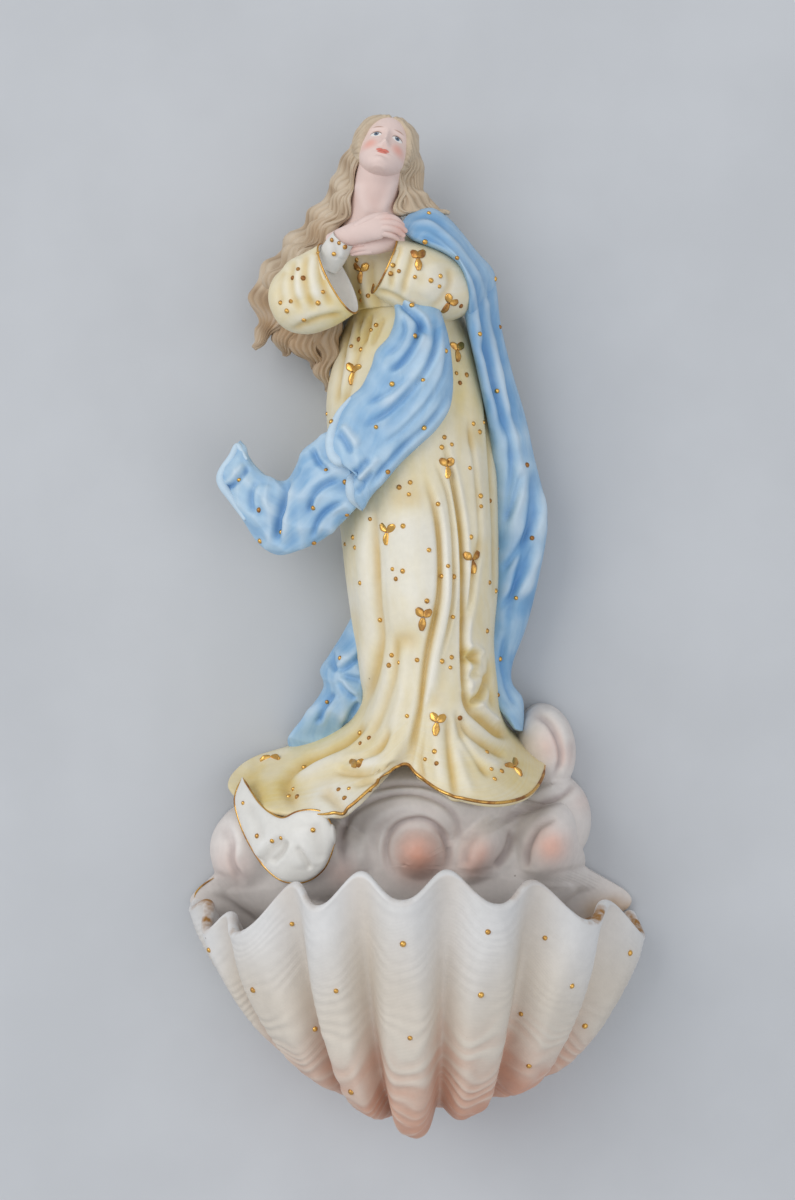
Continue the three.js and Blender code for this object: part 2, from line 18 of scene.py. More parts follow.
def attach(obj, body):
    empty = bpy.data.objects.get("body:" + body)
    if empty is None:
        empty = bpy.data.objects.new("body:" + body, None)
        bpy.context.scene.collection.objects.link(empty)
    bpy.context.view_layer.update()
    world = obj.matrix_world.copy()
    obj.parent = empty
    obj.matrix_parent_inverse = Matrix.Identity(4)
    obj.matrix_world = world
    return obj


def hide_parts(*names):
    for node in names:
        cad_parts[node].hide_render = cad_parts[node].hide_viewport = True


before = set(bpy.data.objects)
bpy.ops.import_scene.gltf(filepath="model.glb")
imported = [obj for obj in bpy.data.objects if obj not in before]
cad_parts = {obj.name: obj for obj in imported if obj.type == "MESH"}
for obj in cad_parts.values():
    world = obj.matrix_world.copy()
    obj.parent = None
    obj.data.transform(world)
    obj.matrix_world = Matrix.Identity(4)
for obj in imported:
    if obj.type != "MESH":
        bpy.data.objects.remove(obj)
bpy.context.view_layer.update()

LOG = logging.getLogger("stoup")
MM = 0.001

Array = np.ndarray
Row = tuple[float, ...]
Rows = tuple[Row, ...]
Colour = tuple[float, float, float]


class Slot(Enum):
    """Material slots of the record."""

    ROBE = "robe"
    WHITE = "white"
    SHELL = "shell"
    CLOUD = "cloud"
    SKIN = "skin"
    HAIR = "hair"
    MANTLE = "mantle"
    GILDING = "gilding"


# ---------------------------------------------------------------- picture and curves


@dataclass(frozen=True)
class Eye:
    """The level camera: where a point of the object falls in the picture, and back.

    A point at distance r from the eye is drawn at middle + offset / (pitch * r / reach).
    """

    place: Row = (-3.75, -800.0, -96.6)
    middle: Row = (397.5, 600.0)
    pitch: float = 0.3
    reach: float = 770.0
    lens: float = 77.0
    sensor: float = 36.0

    def drawn(self, points: Array) -> Array:
        """Pixels at which points are drawn.

        Args:
            points: places in millimetres, on the last axis.
        Returns:
            The pixels, on the last axis.
        """
        step = self.pitch * (points[..., 1] - self.place[1]) / self.reach
        across = self.middle[0] + (points[..., 0] - self.place[0]) / step
        down = self.middle[1] - (points[..., 2] - self.place[2]) / step
        return np.stack([across, down], -1)

    def at_depth(self, pixels: Array, depth: Array) -> Array:
        """Points drawn at pixels that lie at given depths in front of the wall.

        Args:
            pixels: pixels on the last axis.
            depth: depths in millimetres, one for each pixel.
        Returns:
            The places in millimetres.
        """
        depth = np.asarray(depth, float)
        step = self.pitch * (-self.place[1] - depth) / self.reach
        across = self.place[0] + (pixels[..., 0] - self.middle[0]) * step
        up = self.place[2] - (pixels[..., 1] - self.middle[1]) * step
        return np.stack([across, -depth, up], -1)


EYE = Eye()


def smooth_rows(rows: Rows | Array, count: int, closed: bool = False) -> Array:
    """Rows resampled on the cubic curve through them, with the slope at a row from its two neighbours.

    Args:
        rows: the rows that the curve goes through.
        count: number of samples.
        closed: whether the last row leads back to the first.
    Returns:
        The samples, one per row.
    """
    table = np.asarray(rows, float)
    size = len(table)
    last = size if closed else size - 1
    at = np.linspace(0.0, last, count, endpoint=not closed)
    k = np.minimum(np.floor(at).astype(int), last - 1)
    t = (at - k)[:, None]
    near = [(k + j) % size if closed else np.clip(k + j, 0, size - 1) for j in (-1, 0, 1, 2)]
    a, b, c, d = (table[j] for j in near)
    rise, fall = (c - a) / 2, (d - b) / 2
    return b + t * rise + t**2 * (3 * (c - b) - 2 * rise - fall) + t**3 * (2 * (b - c) + rise + fall)


def unit(vectors: Array) -> Array:
    """Vectors of length one along the last axis."""
    return vectors / np.maximum(np.linalg.norm(vectors, axis=-1, keepdims=True), 1e-12)


def step_up(values: Array, low: float, high: float) -> Array:
    """Smooth step from 0 at low to 1 at high."""
    t = np.clip((values - low) / (high - low), 0.0, 1.0)
    return t * t * (3 - 2 * t)


def blur(values: Array, rows: int, columns: int) -> Array:
    """Mean of a grid over a window, with the columns closed and the end rows repeated.

    Args:
        values: the grid.
        rows: half height of the window.
        columns: half width of the window.
    Returns:
        The blurred grid.
    """
    wide = np.pad(values, ((rows, rows), (0, 0)), mode="edge")
    wide = np.pad(wide, ((0, 0), (columns, columns)), mode="wrap")
    total = np.pad(wide.cumsum(0).cumsum(1), ((1, 0), (1, 0)))
    r, c = 2 * rows + 1, 2 * columns + 1
    return (total[r:, c:] - total[:-r, c:] - total[r:, :-c] + total[:-r, :-c]) / (r * c)


@dataclass(frozen=True)
class Stroke:
    """A fold pressed into the clay along a drawn line.

    The height at a pixel is height * exp(-(d / width)^2) for the distance d from the line, less the share
    lip of a second bell 1.6 widths to the viewer's right of a line drawn downwards, and fades at both ends.
    """

    width: float
    height: float
    line: Rows
    lip: float = 0.0

    def relief(self, pixels: Array) -> Array:
        """Height of the fold.

        Args:
            pixels: where the surface is drawn.
        Returns:
            Heights in millimetres.
        """
        path = smooth_rows(self.line, 6 * (len(self.line) - 1) + 1)
        room = 4.0 * self.width
        near = np.all((pixels > path.min(0) - room) & (pixels < path.max(0) + room), axis=-1)
        height = np.zeros(pixels.shape[:-1])
        spots = pixels[near]
        if not len(spots):
            return height
        step = np.diff(path, axis=0)
        away = spots[:, None, :] - path[:-1]
        share = np.clip((away * step).sum(-1) / (step**2).sum(-1), 0.0, 1.0)
        gap = away - share[..., None] * step
        best = np.argmin((gap**2).sum(-1), axis=1)
        each = np.arange(len(spots))
        gap, along = gap[each, best], (best + share[each, best]) / len(step)
        side = np.sign(step[best, 1] * gap[:, 0] - step[best, 0] * gap[:, 1])
        d = side * np.linalg.norm(gap, axis=-1) / self.width
        fade = step_up(np.minimum(along, 1 - along), -0.02, 0.22)
        height[near] = fade * self.height * (np.exp(-(d**2)) - self.lip * np.exp(-((d - 1.6) ** 2)))
        return height


@dataclass(frozen=True)
class Patch:
    """A round patch of tint: amount * exp(-(d / radius)^2) for the distance d from a drawn place."""

    place: Row
    radius: float
    amount: float

    def tint(self, pixels: Array) -> Array:
        """Strength of the patch at each pixel."""
        return self.amount * np.exp(-(((pixels - self.place) / self.radius) ** 2).sum(-1))


# ---------------------------------------------------------------- surfaces and pieces


class Surface:
    """A closed skin: rings of points on a grid, with each ring closed and both end rings drawn to a point."""

    MARKS = ("hollow", "crest", "wash")

    def __init__(self, rings: Array) -> None:
        """Takes the grid of points.

        Args:
            rings: rings by points by x, y, z, in millimetres.
        """
        self.rings = np.array(rings, float)
        self.marks: dict[str, Array] = {name: np.zeros(self.rings.shape[:2]) for name in self.MARKS}

    def normals(self) -> Array:
        """Outward normals: the cross product of the two grid directions, turned away from the ring middles."""
        along = np.gradient(self.rings, axis=0)
        around = np.roll(self.rings, -1, 1) - np.roll(self.rings, 1, 1)
        normal = unit(np.cross(along, around))
        outward = np.sum(normal * (self.rings - self.rings.mean(1, keepdims=True)))
        return normal if outward > 0 else -normal

    def emboss(self, height: Array, spread: tuple[int, int] = (10, 8), grade: float = 0.7) -> "Surface":
        """Moves the skin along its normals, and marks what then lies lower or higher than its surroundings.

        Args:
            height: how far each point moves.
            spread: half window of the surroundings, in rings and points.
            grade: height over the surroundings at which a mark is full.
        Returns:
            The surface itself.
        """
        self.rings += self.normals() * height[..., None]
        rise = blur((height - blur(height, *spread)) / grade, 2, 2)
        # The hollow mark carries the darker tint, partly pooled pigment and partly painted shade; the crest mark
        # carries a painted highlight.
        self.marks["hollow"] = np.clip(self.marks["hollow"] + np.clip(-rise, 0, 1), 0, 1)
        self.marks["crest"] = np.clip(self.marks["crest"] + np.clip(rise, 0, 1), 0, 1)
        return self

    def press(
        self,
        strokes: tuple[Stroke, ...],
        spread: tuple[int, int] = (10, 8),
        grade: float = 0.7,
        more: Array | float = 0.0,
    ) -> "Surface":
        """Presses drawn folds into the side of the skin that faces the viewer.

        Args:
            strokes: the folds.
            spread: as for emboss.
            grade: as for emboss.
            more: height to add to the folds.
        Returns:
            The surface itself.
        """
        pixels = EYE.drawn(self.rings)
        facing = step_up(-self.normals()[..., 1], 0.0, 0.45)
        height = (np.sum([stroke.relief(pixels) for stroke in strokes], axis=0) + more) * facing
        return self.emboss(height, spread, grade)

    def stain(self, patches: tuple[Patch, ...], ground: float = 0.0) -> "Surface":
        """Adds round patches to the wash mark, on what faces the front: stains of the paint, and in some lists painted
        shade and painted highlight as well.

        Args:
            patches: the round patches.
            ground: strength of the wash everywhere.
        Returns:
            The surface itself.
        """
        pixels = EYE.drawn(self.rings)
        front = step_up(-self.normals()[..., 1], -0.3, 0.2)
        total = ground + front * sum(
            (patch.tint(pixels) for patch in patches), np.zeros(pixels.shape[:2]))
        self.marks["wash"] = np.clip(self.marks["wash"] + total, 0, 1)
        return self

    def flat_back(self, depth: float = 0.0) -> "Surface":
        """Flattens what would stand behind a plane parallel to the wall."""
        self.rings[..., 1] = np.minimum(self.rings[..., 1], -depth)
        return self

    def flow(self) -> Array:
        """Lengths in millimetres round each ring and from ring to ring, for streaks that follow the piece."""
        around = np.linalg.norm(np.diff(self.rings, axis=1, append=self.rings[:, :1]), axis=-1).cumsum(1)
        along = np.linalg.norm(np.diff(self.rings, axis=0, prepend=self.rings[:1]), axis=-1).mean(1).cumsum()
        return np.stack([around, along[:, None] + 0 * around, 0 * around], -1)

    def skin(self) -> tuple[Array, Array, Array, dict[str, Array]]:
        """The skin as arrays, with a point that closes each end ring and faces turned outwards.

        Returns:
            Points, four-sided faces, end triangles, and the marks of the points.
        """
        rows, columns = self.rings.shape[:2]
        count = rows * columns
        points = np.vstack([self.rings.reshape(-1, 3), self.rings[0].mean(0), self.rings[-1].mean(0)])
        index = np.arange(count).reshape(rows, columns)
        after = np.roll(index, -1, 1)
        quads = np.stack([index[:-1], after[:-1], after[1:], index[1:]], -1).reshape(-1, 4)
        first = np.stack([np.full(columns, count), after[0], index[0]], -1)
        last = np.stack([np.full(columns, count + 1), index[-1], after[-1]], -1)
        ends = np.vstack([first, last])
        threes = np.vstack([quads[:, :3], quads[:, [0, 2, 3]], ends])
        a, b, c = (points[threes[:, k]] for k in range(3))
        if np.sum(a * np.cross(b, c)) < 0:
            quads, ends = quads[:, ::-1], ends[:, ::-1]
        marks = {
            name: np.concatenate([values.reshape(count, -1), values[[0, -1]].mean(1).reshape(2, -1)])
            for name, values in {**self.marks, "flow": self.flow()}.items()
        }
        return points, quads, ends, marks


def make_piece(
    name: str, surfaces: list[Surface], material: bpy.types.Material, stands_for: tuple[str, ...] = ()
) -> bpy.types.Object:
    """Puts surfaces into one mesh object that rides on the body.

    Args:
        name: name of the piece.
        surfaces: the skins that make it up.
        material: its finish.
        stands_for: CAD nodes that it replaces.
    Returns:
        The object.
    """
    parts = [surface.skin() for surface in surfaces]
    starts = np.cumsum([0, *(len(part[0]) for part in parts)])
    points = np.vstack([part[0] for part in parts]) * MM
    quads = np.vstack([part[1] + start for part, start in zip(parts, starts)])
    ends = np.vstack([part[2] + start for part, start in zip(parts, starts)])
    mesh = bpy.data.meshes.new(name)
    mesh.vertices.add(len(points))
    mesh.vertices.foreach_set("co", points.astype(np.float32).ravel())
    mesh.loops.add(quads.size + ends.size)
    mesh.loops.foreach_set("vertex_index", np.concatenate([quads.ravel(), ends.ravel()]).astype(np.int32))
    mesh.polygons.add(len(quads) + len(ends))
    begin = np.concatenate([np.arange(len(quads)) * 4, quads.size + np.arange(len(ends)) * 3])
    mesh.polygons.foreach_set("loop_start", begin.astype(np.int32))
    mesh.update(calc_edges=True)
    mesh.shade_smooth()
    for mark in sorted({mark for part in parts for mark in part[3]}):
        wide = max(part[3][mark].shape[1] for part in parts if mark in part[3])
        blank = [np.zeros((len(part[0]), wide)) for part in parts]
        values = np.vstack([part[3].get(mark, none) for part, none in zip(parts, blank)])
        kind, key = ("FLOAT", "value") if wide == 1 else ("FLOAT_VECTOR", "vector")
        mesh.attributes.new(mark, kind, "POINT").data.foreach_set(key, values.astype(np.float32).ravel())
    mesh.materials.append(material)
    piece = bpy.data.objects.new(name, mesh)
    bpy.context.scene.collection.objects.link(piece)
    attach(piece, "root")
    if stands_for:
        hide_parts(*stands_for)
    LOG.info("%s: %d faces", name, len(mesh.polygons))
    return piece


def close_ends(rings: Array, courses: tuple[Array, Array], reach: tuple[float, float], steps: int = 7) -> Array:
    """Adds rings that round off both ends: scaled by cos t and moved on by reach * sin t, for t up to a right angle.

    Args:
        rings: the open rings.
        courses: outward direction at the first and at the last ring.
        reach: how far each end goes on.
        steps: rings added at each end.
    Returns:
        The rings with their ends.
    """
    turn = np.linspace(0, math.pi / 2, steps + 1)[1:, None, None] * 0.985

    def end(ring: Array, course: Array, far: float) -> Array:
        middle = ring.mean(0)
        return middle + (ring - middle) * np.cos(turn) + course * far * np.sin(turn)

    head = end(rings[0], courses[0], reach[0])[::-1]
    tail = end(rings[-1], courses[1], reach[1])
    return np.concatenate([head, rings, tail])


def limb(rows: Rows | Array, rings: int, points: int, ends: tuple[float, float] = (1.0, 1.0)) -> Surface:
    """An oval carried along a path: middle + side * halfwidth * cos a + front * halfdepth * sin a.

    Args:
        rows: x, depth, z, half width across the view and half depth along the path.
        rings: number of ovals.
        points: points on each oval.
        ends: how far the rounded ends reach on.
    Returns:
        The surface.
    """
    path = smooth_rows(rows, rings)
    middle = np.stack([path[:, 0], -path[:, 1], path[:, 2]], -1)
    course = unit(np.gradient(middle, axis=0))
    side = unit(np.cross(course, (0.0, -1.0, 0.0)))
    front = np.cross(side, course)
    a = -2 * math.pi * np.arange(points)[:, None] / points
    grid = (
        middle[:, None]
        + side[:, None] * path[:, None, 3:4] * np.cos(a)
        + front[:, None] * path[:, None, 4:5] * np.sin(a)
    )
    return Surface(close_ends(grid, (-course[0], course[-1]), ends))


def drawn_limb(rows: Rows, rings: int, points: int, ends: tuple[float, float] = (0.8, 0.8)) -> Surface:
    """A limb whose middle line is drawn: rows of pixel x, pixel y, depth, half width, half depth.

    Args:
        rows: the rows.
        rings: number of ovals.
        points: points on each oval.
        ends: how far the rounded ends reach on.
    Returns:
        The surface.
    """
    table = np.asarray(rows, float)
    middle = EYE.at_depth(table[:, :2], table[:, 2])
    return limb(np.column_stack([middle[:, 0], table[:, 2], middle[:, 2], table[:, 3:5]]), rings, points, ends)


def ribbon(
    rows: Rows, rings: int, points: int, fullness: float = 0.8, ends: tuple[float, float] = (1.0, 1.0)
) -> Surface:
    """Cloth between two drawn edges: middle + half * cos a + bulge * |sin a|^fullness towards the viewer.

    Args:
        rows: left pixel x, y, right pixel x, y, depth of the left and of the right edge, bulge.
        rings: number of sections.
        points: points on each section.
        fullness: below 1 the section has fuller edges than an oval.
        ends: how far the rounded ends reach on.
    Returns:
        The surface.
    """
    path = smooth_rows(rows, rings)
    left, right = EYE.at_depth(path[:, 0:2], path[:, 4]), EYE.at_depth(path[:, 2:4], path[:, 5])
    middle, half = (left + right) / 2, (left - right) / 2
    a = 2 * math.pi * np.arange(points)[:, None] / points
    lift = np.sign(np.sin(a)) * np.abs(np.sin(a)) ** fullness
    front = np.array((0.0, -1.0, 0.0))
    grid = middle[:, None] + half[:, None] * np.cos(a) + front * path[:, None, 6:7] * lift
    course = unit(np.gradient(middle, axis=0))
    return Surface(close_ends(grid, (-course[0], course[-1]), ends))


# ---------------------------------------------------------------- finishes


def linear(colour: Colour) -> tuple[float, float, float, float]:
    """A written colour, 0 to 255, as linear light with full alpha."""
    values = [c / 255 for c in colour]
    red, green, blue = (c / 12.92 if c <= 0.04045 else ((c + 0.055) / 1.055) ** 2.4 for c in values)
    return red, green, blue, 1.0


class Graph:
    """Adds nodes to a node tree and joins them."""

    def __init__(self, tree: bpy.types.NodeTree) -> None:
        """Takes the tree to add to."""
        self.tree = tree

    def node(self, kind: str, **options: object) -> bpy.types.Node:
        """Adds a node and sets its options.

        Args:
            kind: type name of the node.
            options: properties to set.
        Returns:
            The node.
        """
        made = self.tree.nodes.new(kind)
        for name, value in options.items():
            setattr(made, name, value)
        return made

    def feed(self, socket: bpy.types.NodeSocket, value: object) -> None:
        """Joins an output to a socket, or sets the socket's own value."""
        if isinstance(value, bpy.types.NodeSocket):
            self.tree.links.new(value, socket)
        else:
            socket.default_value = value

    def math(self, operation: str, *values: object, clamp: bool = False) -> bpy.types.NodeSocket:
        """A Math node's output.

        Args:
            operation: name of the operation.
            values: its inputs, sockets or numbers.
            clamp: whether the result is held to 0 to 1.
        Returns:
            The output socket.
        """
        made = self.node("ShaderNodeMath", operation=operation, use_clamp=clamp)
        for socket, value in zip(made.inputs, values):
            self.feed(socket, value)
        return made.outputs[0]

    def mix(self, share: object, low: object, high: object, blend: str = "MIX") -> bpy.types.NodeSocket:
        """A mix of two colours.

        Args:
            share: how much of the second one.
            low: the first colour.
            high: the second colour.
            blend: how they mix.
        Returns:
            The colour socket.
        """
        made = self.node("ShaderNodeMix", data_type="RGBA", blend_type=blend)
        for number, value in ((0, share), (6, low), (7, high)):
            self.feed(made.inputs[number], value)
        return made.outputs[2]

    def ramp(self, value: object, low: float, high: float, to: tuple[float, float] = (0.0, 1.0)) -> bpy.types.NodeSocket:
        """A smooth step of a value.

        Args:
            value: the socket to read.
            low: where the step starts.
            high: where it ends.
            to: values at its start and end.
        Returns:
            The output socket.
        """
        made = self.node("ShaderNodeMapRange", interpolation_type="SMOOTHSTEP")
        for number, given in enumerate((value, low, high, *to)):
            self.feed(made.inputs[number], given)
        return made.outputs[0]

    def mark(self, name: str, vector: bool = False) -> bpy.types.NodeSocket:
        """A mark of the piece's points, as a value or a vector."""
        made = self.node("ShaderNodeAttribute", attribute_name=name)
        return made.outputs["Vector" if vector else "Fac"]

    def noise(self, scale: float, detail: float = 3.0, rough: float = 0.55) -> bpy.types.NodeSocket:
        """Noise on object coordinates, with scale in spots per metre."""
        place = self.node("ShaderNodeTexCoord").outputs["Object"]
        made = self.node("ShaderNodeTexNoise")
        self.feed(made.inputs["Vector"], place)
        for name, value in (("Scale", scale), ("Detail", detail), ("Roughness", rough)):
            made.inputs[name].default_value = value
        return made.outputs["Fac"]


def group(name: str, inputs: dict[str, str], outputs: dict[str, str]) -> tuple[Graph, object, object]:
    """An empty shader node group with named sockets.

    Args:
        name: name of the group.
        inputs: input names and socket types.
        outputs: output names and socket types.
    Returns:
        Its graph, its input sockets by name, and its output sockets by name.
    """
    tree = bpy.data.node_groups.new(name, "ShaderNodeTree")
    for label, kind in inputs.items():
        tree.interface.new_socket(label, in_out="INPUT", socket_type=kind)
    for label, kind in outputs.items():
        tree.interface.new_socket(label, in_out="OUTPUT", socket_type=kind)
    graph = Graph(tree)
    return graph, graph.node("NodeGroupInput").outputs, graph.node("NodeGroupOutput").inputs


FLOAT, COLOUR, VECTOR = "NodeSocketFloat", "NodeSocketColor", "NodeSocketVector"


class Effects:
    """Shader node groups that several finishes share."""

    def __init__(self) -> None:
        """Builds the groups."""
        self.tint_and_painted_light = self._tint_and_painted_light()
        self.firing = self._firing()
        self.grain = self._grain()
        self.oval = self._oval()

    @staticmethod
    def _tint_and_painted_light() -> bpy.types.NodeTree:
        """Darker tint in the hollows, partly pooled pigment and partly painted shade, and paler crests as a painted
        highlight, over a wash with brush streaks along the piece.
        """
        graph, given, out = group(
            "tint_with_painted_shade_and_highlight",
            {
                "Ground": COLOUR,
                "Wash": COLOUR,
                "Crest": COLOUR,
                "Pool And Shade": COLOUR,
                "Crest Gain": FLOAT,
                "Pool And Shade Gain": FLOAT,
                "Streak": FLOAT,
            },
            {"Color": COLOUR},
        )
        cloudy = graph.ramp(graph.noise(60.0, 4.0), 0.3, 0.72, (0.72, 1.18))
        drawn_out = graph.node("ShaderNodeVectorMath", operation="MULTIPLY")
        graph.feed(drawn_out.inputs[0], graph.mark("flow", vector=True))
        drawn_out.inputs[1].default_value = (0.32, 0.06, 0.0)
        brush = graph.node("ShaderNodeTexNoise")
        graph.feed(brush.inputs["Vector"], drawn_out.outputs[0])
        brush.inputs["Scale"].default_value = 1.0
        brush.inputs["Detail"].default_value = 3.0
        streak = graph.math("MULTIPLY", graph.ramp(brush.outputs["Fac"], 0.3, 0.7, (-1.0, 1.0)), given["Streak"])
        wash = graph.math("ADD", graph.math("MULTIPLY", graph.mark("wash"), cloudy), streak, clamp=True)
        colour = graph.mix(wash, given["Ground"], given["Wash"])
        # Paler crests: a painted highlight.
        crest = graph.math("MULTIPLY", graph.mark("crest"), given["Crest Gain"], clamp=True)
        colour = graph.mix(crest, colour, given["Crest"])
        # Darker tint in the hollows: partly pooled pigment, partly painted shade.
        pool_and_shade = graph.math("MULTIPLY", graph.mark("hollow"), given["Pool And Shade Gain"])
        pool_and_shade = graph.math("MULTIPLY", pool_and_shade, cloudy, clamp=True)
        graph.feed(out["Color"], graph.mix(pool_and_shade, colour, given["Pool And Shade"]))
        return graph.tree

    @staticmethod
    def _firing() -> bpy.types.NodeTree:
        """Unevenness from the kiln: broad and fine changes of tone, and a few brown specks."""
        graph, given, out = group(
            "kiln_firing", {"Color": COLOUR, "Tone": FLOAT, "Specks": FLOAT}, {"Color": COLOUR, "Roughness": FLOAT}
        )
        broad = graph.ramp(graph.noise(38.0, 3.0), 0.3, 0.7, (-1.0, 1.0))
        fine = graph.ramp(graph.noise(420.0, 4.0), 0.3, 0.7, (-0.6, 0.6))
        shift = graph.math("MULTIPLY", graph.math("ADD", broad, fine), given["Tone"])
        level = graph.math("ADD", shift, 1.0 - 0.02)
        grey = graph.node("ShaderNodeCombineColor")
        for socket in grey.inputs:
            graph.feed(socket, level)
        toned = graph.mix(1.0, given["Color"], grey.outputs[0], "MULTIPLY")
        dots = graph.node("ShaderNodeTexVoronoi", feature="F1")
        graph.feed(dots.inputs["Vector"], graph.node("ShaderNodeTexCoord").outputs["Object"])
        dots.inputs["Scale"].default_value = 130.0
        spot = graph.ramp(dots.outputs["Distance"], 0.028, 0.05, (1.0, 0.0))
        rare = graph.ramp(graph.noise(70.0, 1.0), 0.56, 0.6)
        speck = graph.math("MULTIPLY", graph.math("MULTIPLY", spot, rare), given["Specks"], clamp=True)
        graph.feed(out["Color"], graph.mix(speck, toned, linear((96, 66, 44))))
        graph.feed(out["Roughness"], graph.ramp(graph.noise(160.0, 4.0), 0.25, 0.75, (-0.05, 0.06)))
        return graph.tree

    @staticmethod
    def _grain() -> bpy.types.NodeTree:
        """The fine tooth of unglazed porcelain with shallow tool marks, as a height."""
        graph, given, out = group("bisque_grain", {"Tooth": FLOAT}, {"Height": FLOAT})
        tooth = graph.math("MULTIPLY", graph.noise(2600.0, 2.0), given["Tooth"])
        swell = graph.math("MULTIPLY", graph.noise(240.0, 3.0), 0.55)
        graph.feed(out["Height"], graph.math("ADD", tooth, swell))
        return graph.tree

    @staticmethod
    def _oval() -> bpy.types.NodeTree:
        """A painted oval: 1 inside, falling to 0 over the soft edge, from the scaled distance to its middle."""
        graph, given, out = group(
            "painted_oval", {"Place": VECTOR, "Middle": VECTOR, "Size": VECTOR, "Soft": FLOAT}, {"Mask": FLOAT}
        )
        away = graph.node("ShaderNodeVectorMath", operation="SUBTRACT")
        graph.feed(away.inputs[0], given["Place"])
        graph.feed(away.inputs[1], given["Middle"])
        scaled = graph.node("ShaderNodeVectorMath", operation="DIVIDE")
        graph.feed(scaled.inputs[0], away.outputs[0])
        graph.feed(scaled.inputs[1], given["Size"])
        far = graph.node("ShaderNodeVectorMath", operation="LENGTH")
        graph.feed(far.inputs[0], scaled.outputs[0])
        inside = graph.math("SUBTRACT", 1.0, given["Soft"])
        made = graph.node("ShaderNodeMapRange", interpolation_type="SMOOTHSTEP")
        for number, value in enumerate((far.outputs["Value"], inside, 1.0, 1.0, 0.0)):
            graph.feed(made.inputs[number], value)
        graph.feed(out["Mask"], made.outputs[0])
        return graph.tree


EFFECTS = Effects()


@dataclass(frozen=True)
class Bisque:
    """Tinted unglazed porcelain: a ground tint, a wash, paler crests as a painted highlight, and a darker tint in the
    hollows, partly pooled pigment and partly painted shade.
    """

    name: str
    ground: Colour
    wash: Colour
    crest: Colour
    pool_and_shade: Colour
    crest_gain: float = 0.7
    pool_and_shade_gain: float = 0.8
    streak: float = 0.0
    tone: float = 0.035
    specks: float = 0.5
    tooth: float = 0.3
    roughness: float = 0.52
    bump: float = 0.12

    def material(self) -> bpy.types.Material:
        """Builds the material.

        Returns:
            The material.
        """
        made = bpy.data.materials.new(self.name)
        made.use_nodes = True
        graph = Graph(made.node_tree)
        shader = made.node_tree.nodes["Principled BSDF"]
        colour = self.paint(graph, self.tint_and_painted_light(graph))
        firing = graph.node("ShaderNodeGroup", node_tree=EFFECTS.firing)
        graph.feed(firing.inputs["Color"], colour)
        firing.inputs["Tone"].default_value = self.tone
        firing.inputs["Specks"].default_value = self.specks
        graph.feed(shader.inputs["Base Color"], firing.outputs["Color"])
        graph.feed(shader.inputs["Roughness"], graph.math("ADD", firing.outputs["Roughness"], self.roughness))
        grain = graph.node("ShaderNodeGroup", node_tree=EFFECTS.grain)
        grain.inputs["Tooth"].default_value = self.tooth
        bump = graph.node("ShaderNodeBump")
        bump.inputs["Strength"].default_value = self.bump
        bump.inputs["Distance"].default_value = 0.0006
        graph.feed(bump.inputs["Height"], self.height(graph, grain.outputs["Height"]))
        graph.feed(shader.inputs["Normal"], bump.outputs["Normal"])
        shader.inputs["Specular IOR Level"].default_value = 0.4
        return made

    def tint_and_painted_light(self, graph: Graph) -> bpy.types.NodeSocket:
        """Places the shared group of tint, painted shade and painted highlight with this finish's colours."""
        tint = graph.node("ShaderNodeGroup", node_tree=EFFECTS.tint_and_painted_light)
        for label, colour in (("Ground", self.ground), ("Wash", self.wash), ("Crest", self.crest), ("Pool And Shade", self.pool_and_shade)):
            tint.inputs[label].default_value = linear(colour)
        tint.inputs["Crest Gain"].default_value = self.crest_gain
        tint.inputs["Pool And Shade Gain"].default_value = self.pool_and_shade_gain
        tint.inputs["Streak"].default_value = self.streak
        return tint.outputs["Color"]

    def paint(self, graph: Graph, colour: bpy.types.NodeSocket) -> bpy.types.NodeSocket:
        """Painting over the pigment; plain bisque has none."""
        return colour

    def height(self, graph: Graph, grain: bpy.types.NodeSocket) -> bpy.types.NodeSocket:
        """Height for the bump; plain bisque has its grain only."""
        return grain


